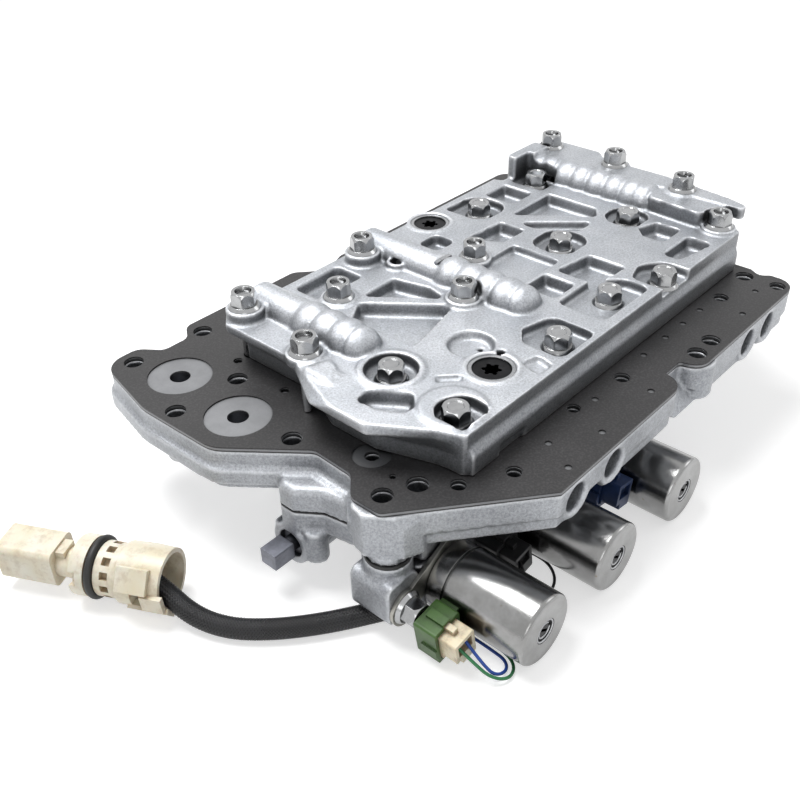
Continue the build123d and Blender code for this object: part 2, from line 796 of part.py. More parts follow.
def seam_outline(inset):
    """Outline of the bottom body where it meets the deck of the lower body."""
    left = bottom_left + inset
    right = bottom_right - inset
    front = bottom_front + inset
    back = bottom_back - inset
    return rounded(
        [
            (-18 + inset, front, 2),
            (right, front, 6),
            (right, back, 8),
            (-20 + inset, back, 8),
            (-20 + inset, 84, 6),
            (left, 61, 4),
            (left, 54, 4),
            (-31 + inset, 44, 5),
            (-28 + inset, 27, 4),
            (-18 + inset, 23, 3),
        ]
    )


def bottom_gasket():
    holes = [(x, y, bolt_clearance_hole / 2) for x, y in bottom_bolts]
    reach = case_bolt_hole_radius + gasket_hole_allowance
    holes += [(x, y, reach) for x, y in case_bolts[:1]]
    return slab(seam_outline(0) - round_holes(holes), seam_bottom, deck_bottom)


def bottom_body():
    body = slab(seam_outline(0), shelf_bottom + 4, seam_bottom)
    front, back = bottom_front, 40
    deep = [(-20, front, 3), (118, front, 3), (118, back, 6), (-20, back, 6)]
    barrel_web = [(bottom_left, 49, 3), (78, 49, 3), (78, 68, 3), (bottom_left, 68, 3)]
    barrel_radius = manual_bore_diameter / 2 + 3.5
    solids = [
        slab(seam_outline(3), shelf_bottom, shelf_bottom + 5),
        # Deep block behind the solenoids
        slab(rounded(deep), block_bottom, shelf_bottom + 2),
        # Barrel of the manual valve and the web that carries it
        rod_x(manual_y, manual_z, barrel_radius, bottom_left, 78),
        slab(rounded(barrel_web), manual_z, shelf_bottom + 2),
        drum(-32, 49, 5, shelf_bottom - 10, shelf_bottom + 5),
    ]
    # Feet that carry the back of the part
    for x, y in feet:
        solids.append(drum(x, y, 8, floor_level, shelf_bottom + 2))
    solids += bracket_boss()
    body = body + solids
    cuts = []
    for x in solenoid_x:
        radius = nose_diameter / 2 + nose_clearance
        cuts.append(rod_y(x, solenoid_z, radius, front - 3, front + nose_length))
    inner = manual_length + bottom_left
    cuts.append(rod_x(manual_y, manual_z, manual_bore_diameter / 2, bottom_left - 1, inner + 8))
    for x, y in bottom_bolts:
        cuts.append(drum(x, y, bolt_clearance_hole / 2, floor_level - 1, seam_bottom + 1))
        cuts.append(drum(x, y, bolt_flange / 2 + 0.6, floor_level - 1, bottom_bolt_seat))
    for x, y in case_bolts[:1]:
        cuts.append(drum(x, y, case_bolt_hole_radius + 0.7, floor_level - 1, seam_bottom + 1))
    x, y, radius = foot_passage
    cuts.append(drum(x, y, radius, bracket_bolt_z + 6, seam_bottom))
    tip = bracket_plane + bracket_bolt_length
    hole = bolt_thread_hole / 2
    cuts.append(rod_y(bracket_bolt_x, bracket_bolt_z, hole, bracket_plane - 1, tip))
    return body - cuts


boss_back = 24.0
manual_length = 88.0


def bracket_boss():
    """Square boss for the bracket bolt, with a round seat for the foot seal on top."""
    x, z = bracket_bolt_x, bracket_bolt_z
    seat = seam_bottom - foot_drop - seal_thickness
    boss = block(x - 8.5, x + 8.5, bracket_plane, boss_back, z - 6, z + 13.5)
    boss = fillet(boss.edges().filter_by(Axis.Y), 4)
    return [
        boss,
        drum(foot_x, foot_y, foot_radius + 1, z, seat),
        block(x, -17, 12, boss_back, z - 4, z + 10),
    ]


def foot_seal():
    """Ring between the foot of the lower body and its seat."""
    bottom = seam_bottom - foot_drop - seal_thickness
    top = bottom + seal_thickness
    outer = foot_radius + 0.6
    return drum(foot_x, foot_y, outer, bottom, top) - drum(foot_x, foot_y, outer - 1.8, bottom, top)


neck_radius = 7.0
neck_clearance = 0.3


def solenoid(x):
    """Can with its collar, nose with seal grooves, and the adjuster in the end."""
    collar_y = can_front + can_length
    rear = bracket_plane - bracket_thickness - 0.2
    radius = can_diameter / 2
    can = rod_y(x, solenoid_z, radius, can_front, collar_y)
    can = fillet(can.edges().group_by(Axis.Y)[0], can_edge)
    can = can + [
        rod_y(x, solenoid_z, radius - 0.9, collar_y, collar_y + 1.2),
        rod_y(x, solenoid_z, radius - 0.2, collar_y + 1.2, rear),
    ]
    can = can - [
        rod_y(x, solenoid_z, adjuster_diameter / 2 + 0.9, can_front - 1, can_front + 0.5),
        rod_y(x, solenoid_z, adjuster_diameter / 2, can_front - 1, can_front + 4),
    ]
    depth = can_front + 4
    adjuster = rod_y(x, solenoid_z, adjuster_diameter / 2, can_front + 0.8, depth)
    front = can_front + 0.8
    ring = rod_y(x, solenoid_z, 3.7, front, front + 0.7) - rod_y(x, solenoid_z, 2.9, front, depth)
    slot = block(x - 2.9, x + 2.9, front, front + 1.2, solenoid_z - 0.6, solenoid_z + 0.6)
    adjuster = adjuster - [ring, Pos(x, 0, solenoid_z) * Rot(0, 35, 0) * Pos(-x, 0, -solenoid_z) * slot]
    nose_end = bottom_front + nose_length - 1.0
    nose = rod_y(x, solenoid_z, nose_diameter / 2, bracket_plane + 0.2, nose_end)
    nose += rod_y(x, solenoid_z, neck_radius, rear, bracket_plane + 0.2)
    nose = nose - [seal_groove(x, y) for y in seal_places]
    return can, nose, adjuster


seal_places = [bottom_front + 5, bottom_front + 13]
groove_width = 2.2
groove_depth = 1.6


def seal_groove(x, y):
    outer = rod_y(x, solenoid_z, nose_diameter, y, y + groove_width)
    return outer - rod_y(x, solenoid_z, nose_diameter / 2 - groove_depth, y, y + groove_width)


def nose_seals():
    """Square rings in the grooves, filling the bore."""
    rings = []
    outer = nose_diameter / 2 + nose_clearance
    for x in solenoid_x:
        for y in seal_places:
            y0, y1 = y + 0.2, y + groove_width - 0.2
            ring = rod_y(x, solenoid_z, outer, y0, y1)
            rings.append(ring - rod_y(x, solenoid_z, nose_diameter / 2 - groove_depth, y0, y1))
    return group(rings)


# Sockets on the left of the solenoids: turn about the axis, and shift along it
socket_turns = [9.0, 9.0, -10.0]
socket_shifts = [0.0, 9.8, -3.0]


def on_solenoid(n, shape):
    """Moves a shape drawn for a solenoid along z = 0 to the place of the nth one."""
    shift = socket_shifts[n]
    return Pos(solenoid_x[n], shift, solenoid_z) * Rot(0, -socket_turns[n], 0) * shape


socket_width = 15.0
socket_front = -16.0
socket_back = -5.6
plug_front_y = -24.0
plug_back_y = -8.0
plug_gap = 0.2


def solenoid_socket(n):
    """Moulded socket on the side of a solenoid, with a rail on top and open at the front."""
    inner = can_diameter / 2
    left = -inner - socket_width
    front, back = socket_front, socket_back
    shell = block(left, -inner - 1, front, back, -9, 8)
    shell = fillet(shell.edges().filter_by(Axis.Y), 1)
    shell = shell + [
        block(-inner - 4, -inner + 3, front + 2, back - 0.5, -6, 6),
        block(left + 5, left + 9, front, back - 2, 8, 9.4),
        block(left - 0.8, left + 1, front, back - 3, -5, -1),
    ]
    mouth = block(left + 1.5, -inner - 2.5, front - 1, plug_back_y + plug_gap, -7, 6)
    latch = block(left + 5.4, left + 8.6, front - 1, plug_back_y, 5, 8.2)
    placed = on_solenoid(n, shell - [mouth, latch])
    return placed - rod_y(solenoid_x[n], solenoid_z, inner + 0.05, can_front, 20)


def harness_plug(n):
    """Plug pushed into the socket, its wires leaving from the front."""
    inner = can_diameter / 2
    left = -inner - socket_width + 1.5 + plug_gap
    right = -inner - 2.5 - plug_gap
    front = plug_front_y
    plug = block(left, right, front, plug_back_y, -7 + plug_gap, 6 - plug_gap)
    plug = fillet(plug.edges().filter_by(Axis.Y), 0.8)
    plug += block(left + 4, left + 6.6, front + 4, plug_back_y - 1, 5.5, 7.8)
    plug = plug - [
        block(left + 1.5, right - 1.5, front - 1, front + 2, -1.5, 4),
        block(left - 1, left + 3, front - 1, socket_front - 1, -9, -4),
    ]
    return on_solenoid(n, plug)


def bracket():
    """Flat strip bolted to the boss, forked round the neck of the first solenoid."""
    x, z = bracket_bolt_x, bracket_bolt_z
    reach, rise = 34.0, 16.5
    tilt = math.degrees(math.atan2(rise, reach))
    length = math.hypot(reach, rise)
    strip = Circle(8) + Rot(0, 0, tilt) * Pos(length / 2, 0) * Rectangle(length, 11)
    strip += Pos(reach, rise) * Circle(5.5)
    strip += Pos(reach / 2 + 1, 4) * Rectangle(12, 9)
    strip -= Circle(bolt_clearance_hole / 2)
    strip -= Pos(solenoid_x[0] - x, solenoid_z - z) * Circle(neck_radius + neck_clearance)
    body = Plane.XZ.offset(-bracket_plane) * extrude(strip, amount=bracket_thickness)
    return Pos(x, 0, z) * body


def manual_valve():
    """Spool with a square drive lug on its outer end."""
    outer = bottom_left - 1.5
    lug = block(outer - 10, outer, manual_y - 4.3, manual_y + 4.3, manual_z - 3.8, manual_z + 3.8)
    lug = fillet(lug.edges().filter_by(Axis.X), 0.6)
    turned = Rot(0, 0, -90) * spool(manual_bore_diameter, manual_length, 4.0, 4)
    return lug + Pos(outer, manual_y, manual_z) * turned


def torx_plug(x, y):
    """Threaded plug with a six lobed socket."""
    top = cover_height - 1
    plug = drum(x, y, plug_radius - 0.05, cover_height - 10, top)
    lobes = Circle(2.9) + [Rot(0, 0, 60 * n) * Pos(3.1, 0) * Circle(1.0) for n in range(6)]
    return plug - Pos(x, y, 0) * slab(lobes, top - 4, top + 1)


def plug_ring(x, y):
    bottom, top = cover_height - 3, cover_height - 0.4
    ring = drum(x, y, plug_ring_radius - 0.05, bottom, top)
    return ring - drum(x, y, plug_radius, bottom, top)


def along(point, heading, distance):
    return tuple(p + h * distance for p, h in zip(point, heading))


def place_connector(shape):
    """Moves a shape drawn along +y onto the axis of the case connector."""
    angle = math.degrees(math.atan2(-connector_heading[0], connector_heading[1]))
    return Pos(*connector_bell_end) * Rot(0, 0, angle) * shape


def connector_body():
    """Ribbed barrel with its flange, seal groove and neck, moulded in one piece."""
    r = connector_radius
    profile = [(13, 0), (13, 8.5), (19, 8.5), (19, r - 1.2), (28.4, r - 1.2), (28.4, r - 2.6),
               (32.2, r - 2.6), (32.2, r), (38.5, r), (38.5, 6.5), (51, 6.5), (51, 0)]
    body = revolve(
        make_face(Polyline(*[(radius, y) for y, radius in profile], close=True)), Axis.Y
    )
    # Windows round the barrel, and a notch in the flange
    cuts = []
    for turn in range(0, 360, 30):
        window = block(-1.6, 1.6, 22, 25.5, r - 4, r + 1)
        cuts.append(Rot(0, turn, 0) * window)
    cuts.append(Rot(0, -75, 0) * block(-3, 3, 35.5, 39.5, r - 3.5, r + 1))
    return place_connector(body - cuts)


socket_floor = 54.0


def connector_plug():
    """Rectangular end that the outer harness plugs into."""
    body = block(-8.5, 8.5, 47.5, 72, -8, 9)
    body = fillet(body.edges().filter_by(Axis.Y), 3)
    body += block(-4, 4, 43.5, 49.5, 5, 8)
    body -= block(-6.8, 6.8, socket_floor, 73, -6.3, 7.3)
    return place_connector(body - rod_y(0, 0, 6.55, 36, 51.05))


def connector_pins():
    """Contacts that stand on the floor of the plug end's socket."""
    pins = []
    for x in (-4.0, -1.35, 1.35, 4.0):
        for z in (-2.5, 2.5):
            pin = block(x - 0.4, x + 0.4, socket_floor, socket_floor + 6, z - 0.4, z + 0.4)
            pins.append(place_connector(pin))
    return group(pins)


def connector_seal():
    """Round section seal in the groove of the connector body."""
    r = connector_radius
    section = Pos(r - 1.0, 30.3) * Circle(1.6)
    return place_connector(revolve(section, Axis.Y))


def connector_collar():
    """Open bell with a latch tab and a hook, which the sleeve leaves from."""
    r = connector_radius
    profile = [(0, r + 0.2), (0, r - 1.6), (12, r - 2.2), (12, 8.8), (18.7, 8.8),
               (18.7, r + 0.2), (9, r + 0.6)]
    body = revolve(
        make_face(Polyline(*[(radius, y) for y, radius in profile], close=True)), Axis.Y
    )
    tab = Rot(0, -55, 0) * block(-5, 5, 4, 17, r - 0.6, r + 2.2)
    body = body + [
        tab,
        Rot(0, -95, 0) * block(-4, 4, -2, 7, r - 0.6, r + 1.6),
        Rot(0, -128, 0) * block(-3.5, 3.5, -3, 14, r - 0.8, r + 1.4),
    ]
    window = Rot(0, -95, 0) * block(-3.5, 3.5, 7, 12, r - 4, r + 2)
    return place_connector(body - window)


def cord(points, diameter, limp=False):
    """Tube along straight runs joined by tangent arcs, and its length."""
    points = [Vector(*point) for point in points]
    radii = []
    for a, b, c in zip(points, points[1:], points[2:]):
        turn = math.radians((b - a).get_angle(c - b))
        shorter = min((b - a).length, (c - b).length)
        radii.append(0.45 * shorter / math.tan(turn / 2))
    path = FilletPolyline(*points, radius=radii)
    start = points[1] - points[0]
    plane = Plane(origin=points[0], z_dir=start)
    tube = sweep(plane * Circle(diameter / 2), path=path)
    ratio = tube.volume / (math.pi * (diameter / 2) ** 2 * path.length)
    print("radii", [round(r, 1) for r in radii], "length", round(path.length, 1),
          "volume ratio", round(ratio, 4), "least diameters", round(min(radii) / diameter, 1))
    return tube


cuff_point = (-30.0, 15.6, -56.4)
cuff_heading = (0.853, -0.522, 0.0)
cuff_length = 7.0
wire_diameter = 1.3
wire_level = floor_level + wire_diameter / 2

harness_route = [
    along(connector_bell_end, connector_heading, 12.5),
    (-82.5, 83.0, -50.0),
    (-81.0, 69.0, -55.2),
    (-75.5, 54.5, -56.6),
    (-65.5, 42.0, -56.6),
    (-53.5, 31.3, -56.5),
    along(cuff_point, cuff_heading, -13),
    cuff_point,
]


def harness_sleeve():
    return cord(harness_route, harness_diameter)


def harness_cuff():
    """Short shrunk cuff on the end of the sleeve, where the wires part."""
    end = Plane(origin=cuff_point, z_dir=cuff_heading)
    body = end * Cylinder(4.5, cuff_length, align=(Align.CENTER, Align.CENTER, Align.MIN))
    return body


def cuff_exit(side, drop):
    """Point of the cuff's end face: across to the back, and down."""
    end = along(cuff_point, cuff_heading, cuff_length)
    return (end[0] + 0.522 * side, end[1] + 0.853 * side, end[2] - drop)


def plug_exit(n, across, up):
    """Point of the front face of a harness plug."""
    centre = Vector(-can_diameter / 2 - socket_width / 2 - 0.5 + across, plug_front_y + 2, up)
    turned = centre.rotate(Axis.Y, -socket_turns[n])
    place = Vector(solenoid_x[n], socket_shifts[n], solenoid_z)
    return tuple(turned + place)


def wire_routes():
    low = wire_level
    return {
        "wire_green": [
            cuff_exit(1.0, 2.0), (-15.2, 6.5, low + 0.2), (-12.2, -5.0, low), (-12.6, -20.0, low),
            (-13.0, -32.5, low), (-16.5, -40.0, low), (-23.0, -41.5, low + 1.0),
            (-28.0, -36.5, -57.0), (-29.5, -29.0, -53.0), plug_exit(0, -2.0, 1.0),
        ],
        "wire_blue": [
            cuff_exit(-2.5, 2.0), (-18.5, 2.5, low + 0.2), (-15.4, -9.0, low), (-15.2, -19.0, low),
            (-15.4, -27.0, low), (-15.8, -33.0, low), (-19.0, -38.0, low + 0.2),
            (-24.2, -38.0, low + 1.8), (-27.0, -33.0, -56.0), plug_exit(0, 2.0, 1.0),
        ],
        "wire_black": [
            cuff_exit(3.0, 2.2), (-14.0, 14.5, low + 0.1), (0.0, 15.5, low), (14.0, 14.5, low),
            (27.0, 10.0, low), (34.8, 2.0, low), (36.6, -8.0, low), (36.2, -16.5, low),
            (31.0, -23.6, low), (23.5, -26.5, low), (16.0, -26.0, low + 1.2),
            (13.2, -21.5, -55.5), (15.0, -19.5, -49.0), plug_exit(1, -1.0, 1.0),
        ],
    }


def main():
    os.makedirs("parts", exist_ok=True)
    nodes, cords = pieces()
    fixed = Compound(children=[solid for shape in nodes.values() for solid in shape.solids()])
    box = fixed.bounding_box()
    offset_point = Pos(-(box.min.X + box.max.X) / 2, -(box.min.Y + box.max.Y) / 2, -box.min.Z)
    print("moved by", offset_point.position)
    for name, shape in {**nodes, **cords}.items():
        export_step(offset_point * shape, f"parts/{name}.step")
    print(len(nodes) + len(cords), "nodes")


def pieces():
    """Every piece by name: the ones that stay in place, and the harness."""
    nodes = {
        "upper_body": upper_body(),
        "upper_gasket": upper_gasket(),
        "separator_plate": separator_plate(),
        "lower_gasket": lower_gasket(),
        "lower_body": lower_body(),
        "bottom_gasket": bottom_gasket(),
        "bottom_body": bottom_body(),
        "cover_bolts_short": cover_bolts(pocket_bolts, pocket_bolt_length, hollow=False),
        "cover_bolts_medium": cover_bolts(deck_bolts, deck_bolt_length),
        "cover_bolts_long": cover_bolts(ledge_bolts, ledge_bolt_length),
        "bottom_bolts": bottom_bolt_group(),
        "bracket_bolt": bracket_bolt(),
        "solenoid_bracket": bracket(),
        "foot_seal": foot_seal(),
        "threaded_plugs": group([torx_plug(x, y) for x, y in torx_plugs]),
        "plug_rings": group([plug_ring(x, y) for x, y in torx_plugs]),
        "bore_plugs": group([bore_plug(barrel) for barrel in barrels]),
        "valve_keys": group(
            [bore_key(barrel) for barrel in barrels] + [lower_key(x) for x in lower_bore_x]
        ),
        "nose_seals": nose_seals(),
        "manual_valve": manual_valve(),
    }
    for n, barrel in enumerate(barrels, 1):
        nodes[f"upper_spool_{n}"], nodes[f"upper_spring_{n}"] = upper_valve(barrel)
    for n, x in enumerate(lower_bore_x, 1):
        nodes[f"lower_spool_{n}"], nodes[f"lower_spring_{n}"] = lower_valve(x)
    for n, (x, y, radius, hole) in enumerate(windows[:2], 1):
        nodes[f"accumulator_piston_{n}"], nodes[f"accumulator_spring_{n}"] = accumulator(x, y)
    noses, adjusters = [], []
    for n, x in enumerate(solenoid_x):
        can, nose, adjuster = solenoid(x)
        nodes[f"solenoid_can_{n + 1}"] = can
        noses.append(nose)
        adjusters.append(adjuster)
        nodes[f"solenoid_socket_{n + 1}"] = solenoid_socket(n)
        nodes[f"harness_plug_{n + 1}"] = harness_plug(n)
    nodes["solenoid_noses"] = group(noses)
    nodes["solenoid_adjusters"] = group(adjusters)
    cords = {
        "connector_body": connector_body(),
        "connector_plug_end": connector_plug(),
        "connector_pins": connector_pins(),
        "connector_seal": connector_seal(),
        "connector_collar": connector_collar(),
        "harness_sleeve": harness_sleeve(),
        "harness_cuff": harness_cuff(),
    }
    for name, route in wire_routes().items():
        cords[name] = cord(route, wire_diameter)
    return nodes, cords


if __name__ == "__main__":
    main()
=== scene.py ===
# %% [markdown]
# # A transmission valve body
# The object is a stack of aluminium castings that steers the oil of an automatic gearbox.
# Its shape comes ready made from the CAD parts. This lesson gives it a camera, finishes and
# light, and models what the CAD keeps plain: the wires and their woven sleeve, bolts with
# soft edges, the rings in the ends of the solenoids, coil springs and soft castings.

# %% Load the frame
import math

import bpy
import numpy as np
from mathutils import Euler, Matrix, Vector


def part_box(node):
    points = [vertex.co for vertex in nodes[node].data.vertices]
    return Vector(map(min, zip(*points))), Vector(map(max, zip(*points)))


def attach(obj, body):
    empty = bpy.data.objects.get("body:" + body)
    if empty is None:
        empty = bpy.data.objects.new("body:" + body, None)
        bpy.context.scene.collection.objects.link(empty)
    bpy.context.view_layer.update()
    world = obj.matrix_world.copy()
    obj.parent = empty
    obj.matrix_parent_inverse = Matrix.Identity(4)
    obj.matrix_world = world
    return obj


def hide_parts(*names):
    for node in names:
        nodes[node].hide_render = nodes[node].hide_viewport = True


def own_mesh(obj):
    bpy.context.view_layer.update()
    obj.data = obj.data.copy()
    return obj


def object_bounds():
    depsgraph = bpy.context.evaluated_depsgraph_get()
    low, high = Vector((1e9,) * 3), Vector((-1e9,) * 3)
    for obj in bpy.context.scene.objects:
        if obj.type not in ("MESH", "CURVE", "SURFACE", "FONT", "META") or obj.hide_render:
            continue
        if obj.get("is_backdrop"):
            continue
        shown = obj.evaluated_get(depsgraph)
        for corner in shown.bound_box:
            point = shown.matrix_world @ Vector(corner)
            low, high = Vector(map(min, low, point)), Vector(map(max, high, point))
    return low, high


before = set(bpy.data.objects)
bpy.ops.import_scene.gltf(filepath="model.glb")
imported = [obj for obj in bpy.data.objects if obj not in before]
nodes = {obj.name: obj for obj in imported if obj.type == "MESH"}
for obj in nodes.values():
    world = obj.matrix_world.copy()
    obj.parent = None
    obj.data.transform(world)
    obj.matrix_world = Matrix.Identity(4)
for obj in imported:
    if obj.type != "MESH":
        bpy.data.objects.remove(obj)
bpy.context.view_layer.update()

# %% [markdown]
# The camera stands beyond the front left corner, well above the cover, and looks down at
# about 36 degrees. A 44 mm lens gives the same strong perspective as the photograph.

# %% Camera
camera_data = bpy.data.cameras.new("camera")
camera_data.lens = 44.0
camera_data.sensor_width = 36.0
camera_data.clip_start = 0.01
camera = bpy.data.objects.new("camera", camera_data)
camera.location = (-0.308007, -0.231020, 0.292940)
camera.rotation_euler = Euler([math.radians(a) for a in (54.2994, 1.2994, -48.1536)])
bpy.context.scene.collection.objects.link(camera)
bpy.context.scene.camera = camera
bpy.context.view_layer.update()
print("camera looks along", tuple(camera.matrix_world.to_3x3() @ Vector((0, 0, -1))))

# %% [markdown]
# The wiring comes next, because its length is a fact of the object. Each wire is one NURBS
# curve that follows the points of its CAD route. It leaves the end of the sleeve, lies on
# the table under the castings and rises into the front of its plug.

# %% Routes of the wires and of the sleeve
routes = {
    "sleeve": [
        (-0.175787, 0.032588, 0.0132), (-0.174537, 0.0205, 0.011), (-0.173037, 0.0065, 0.0058),
        (-0.167537, -0.008, 0.0044), (-0.157537, -0.0205, 0.0044), (-0.145537, -0.0312, 0.0045),
        (-0.133126, -0.040114, 0.0046), (-0.122037, -0.0469, 0.0046),
    ],
    "wire_green": [
        (-0.115544, -0.049701, 0.0026), (-0.107237, -0.056, 0.00085),
        (-0.104237, -0.0675, 0.00065), (-0.104637, -0.0825, 0.00065),
        (-0.105037, -0.095, 0.00065), (-0.108537, -0.1007, 0.00065),
        (-0.115037, -0.1022, 0.00165), (-0.120037, -0.0978, 0.004),
        (-0.121537, -0.0915, 0.008), (-0.122386, -0.0845, 0.012077),
    ],
    "wire_blue": [
        (-0.117371, -0.052687, 0.0026), (-0.110537, -0.06, 0.00085),
        (-0.107437, -0.0715, 0.00065), (-0.107237, -0.0815, 0.00065),
        (-0.107437, -0.0895, 0.00065), (-0.107837, -0.0955, 0.00065),
        (-0.111037, -0.0989, 0.00085), (-0.116237, -0.0989, 0.00245),
        (-0.119037, -0.0955, 0.005), (-0.118435, -0.0845, 0.012703),
    ],
    "wire_black": [
        (-0.1145, -0.047995, 0.0024), (-0.106037, -0.048, 0.00075), (-0.092037, -0.047, 0.00065),
        (-0.078037, -0.048, 0.00065), (-0.065037, -0.0525, 0.00065),
        (-0.057237, -0.0605, 0.00065), (-0.055437, -0.0705, 0.00065),
        (-0.055837, -0.079, 0.00065), (-0.061037, -0.0861, 0.00065),
        (-0.068537, -0.089, 0.00065), (-0.076037, -0.0885, 0.00185),
        (-0.078837, -0.084, 0.0055), (-0.077037, -0.082, 0.012), (-0.072098, -0.0747, 0.012233),
    ],
}
wire_diameter = 0.0013
sleeve_diameter = 0.0086


def route_curve(name, points, thickness):
    """One open NURBS spline through a route, given a round section of this thickness.

    The bevel is 1 m deep and each point scales it down, because Blender pads the box of a
    curve by its points' radius.
    """
    data = bpy.data.curves.new(name, "CURVE")
    data.dimensions = "3D"
    data.resolution_u = 8
    spline = data.splines.new("NURBS")
    spline.points.add(len(points) - 1)
    for point, place in zip(spline.points, points):
        point.co = (*place, 1.0)
        point.radius = thickness / 2
    spline.order_u = 3
    spline.use_endpoint_u = True
    data.bevel_depth = 1.0 if thickness else 0.0
    data.bevel_resolution = 3
    data.use_fill_caps = True
    made = bpy.data.objects.new(name, data)
    bpy.context.scene.collection.objects.link(made)
    return made


def line_points(name, points):
    """Points along the route's spline, read from the curve with no section."""
    bare = route_curve(name + "_line", points, 0.0)
    data = bpy.data.meshes.new_from_object(bare)
    line = [v.co.copy() for v in data.vertices]
    bpy.data.objects.remove(bare)
    return line


def line_length(line):
    """Sum of the line's steps."""
    return sum((b - a).length for a, b in zip(line, line[1:]))


# %% Wires
wires = {}
for wire in ("wire_green", "wire_blue", "wire_black"):
    length = line_length(line_points(wire, routes[wire]))
    wires[wire] = route_curve(wire + "_cover", routes[wire], wire_diameter)
    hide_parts(wire)
    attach(wires[wire], "valve_body")
    print(wire, "length", round(length * 1000, 1), "mm")

# %% [markdown]
# The harness runs inside a woven sleeve. Its weave is modelled: a dark core, and around it
# strands that wind both ways and pass over and under each other. Each strand is a thin ribbon
# that follows the core's line, so the weave keeps its scale round the bend.

# %% A moving frame along the sleeve
sleeve_line = line_points("sleeve", routes["sleeve"])


def resample(line, steps):
    """The same line as evenly spaced points, each with its direction."""
    knots = np.array([tuple(p) for p in line])
    run = np.concatenate([[0], np.cumsum(np.linalg.norm(np.diff(knots, axis=0), axis=1))])
    at = np.linspace(0, run[-1], steps)
    points = np.stack([np.interp(at, run, knots[:, k]) for k in range(3)], axis=1)
    for _ in range(6):
        points[1:-1] = (points[:-2] + 2 * points[1:-1] + points[2:]) / 4
    ways = np.gradient(points, axis=0)
    ways /= np.linalg.norm(ways, axis=1)[:, None]
    return points, ways


def side_vectors(ways):
    """Two directions across the line at each point, carried along it without twist."""
    across = np.cross(ways[0], (0, 0, 1.0))
    across /= np.linalg.norm(across)
    first, second = [], []
    for way in ways:
        across = across - way * np.dot(across, way)
        across /= np.linalg.norm(across)
        first.append(across.copy())
        second.append(np.cross(way, across))
    return np.array(first), np.array(second)


steps = 640
points, ways = resample(sleeve_line, steps)
side, up = side_vectors(ways)
print("sleeve line:", len(sleeve_line), "points read,", steps, "used")

# %% Core of the sleeve
weave_depth = 0.00062
core_radius = sleeve_diameter / 2 - weave_depth
core_sides = 24
core_stride = 5


def core_tube():
    """Vertices and faces of the closed tube under the strands."""
    vertices, faces = [], []
    for k in range(0, steps, core_stride):
        for a in np.linspace(0, 2 * math.pi, core_sides, endpoint=False):
            out = math.cos(a) * side[k] + math.sin(a) * up[k]
            vertices.append(tuple(points[k] + core_radius * out))
    rows = len(vertices) // core_sides
    for r in range(rows - 1):
        for c in range(core_sides):
            d = (c + 1) % core_sides
            a, b = r * core_sides, (r + 1) * core_sides
            faces.append((a + c, a + d, b + d, b + c))
    faces.append(tuple(reversed(range(core_sides))))
    faces.append(tuple(range((rows - 1) * core_sides, rows * core_sides)))
    return vertices, faces


# %% Strands of the sleeve
strands_each_way = 16
strand_width = 0.00115
strand_seat = 0.00036
strand_lift = 0.00022
strand_turns = 5.0
# Places across the ribbon, in half widths, and how far its surface rises there
ribbon_section = ((-1, -0.00022), (0, 0.00006), (1, -0.00022))


def strand(hand, number):
    """Ribbon that winds one way and passes over and under the others."""
    vertices, faces = [], []
    for k in range(steps):
        along = k / (steps - 1)
        turn = 2 * math.pi * (hand * strand_turns * along + number / strands_each_way)
        crossing = 2 * strand_turns * along * strands_each_way
        lift = hand * strand_lift * math.cos(math.pi * crossing)
        radius = core_radius + strand_seat + lift
        half = strand_width / 2 / radius
        for offset, rise in ribbon_section:
            a = turn + offset * half
            out = math.cos(a) * side[k] + math.sin(a) * up[k]
            vertices.append(tuple(points[k] + (radius + rise) * out))
    for k in range(steps - 1):
        for c in range(2):
            a = k * 3 + c
            faces.append((a, a + 1, a + 4, a + 3))
    return vertices, faces


vertices, faces = core_tube()
core_faces = len(faces)
for hand in (1, -1):
    for number in range(strands_each_way):
        more, quads = strand(hand, number)
        start = len(vertices)
        vertices += more
        faces += [tuple(start + i for i in quad) for quad in quads]
sleeve_mesh = bpy.data.meshes.new("woven_sleeve")
sleeve_mesh.from_pydata(vertices, [], faces)
sleeve_mesh.update()
sleeve_mesh.polygons.foreach_set("use_smooth", [True] * len(sleeve_mesh.polygons))
sleeve = bpy.data.objects.new("woven_sleeve", sleeve_mesh)
bpy.context.scene.collection.objects.link(sleeve)
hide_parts("harness_sleeve")
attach(sleeve, "valve_body")

# %% [markdown]
# The cover is held by flange bolts. On a real bolt every edge is rolled or worn soft, and no
# two heads stand at the same angle. Each kind of bolt is modelled once, from a six sided
# cylinder whose corners are cut by a cone. Copies of it are turned and set on their seats.

# %% One flange bolt
hexagon_width = 0.010
head_height = 0.0075
crown_foot, crown_top = 0.0086, 0.0049
flange_radius, flange_top = 0.0071, 0.0059
flange_height = 0.0016
shank_radius = 0.00295
shank_overlap = 0.0004
soft_edge = 0.00028


def fresh(operator, **settings):
    """Adds a primitive alone in the selection, and returns it."""
    bpy.ops.object.select_all(action="DESELECT")
    operator(**settings)
    return bpy.context.object


def shaped(piece, kind, **settings):
    """Adds a modifier to a piece and applies it."""
    bpy.context.view_layer.objects.active = piece
    made = piece.modifiers.new(kind.lower(), kind)
    for name, value in settings.items():
        setattr(made, name, value)
    bpy.ops.object.modifier_apply(modifier=made.name)


def joined_solid(piece, other, operation):
    """Cuts, meets or joins two solids, and removes the second."""
    shaped(piece, "BOOLEAN", object=other, operation=operation, solver="EXACT")
    bpy.data.objects.remove(other)


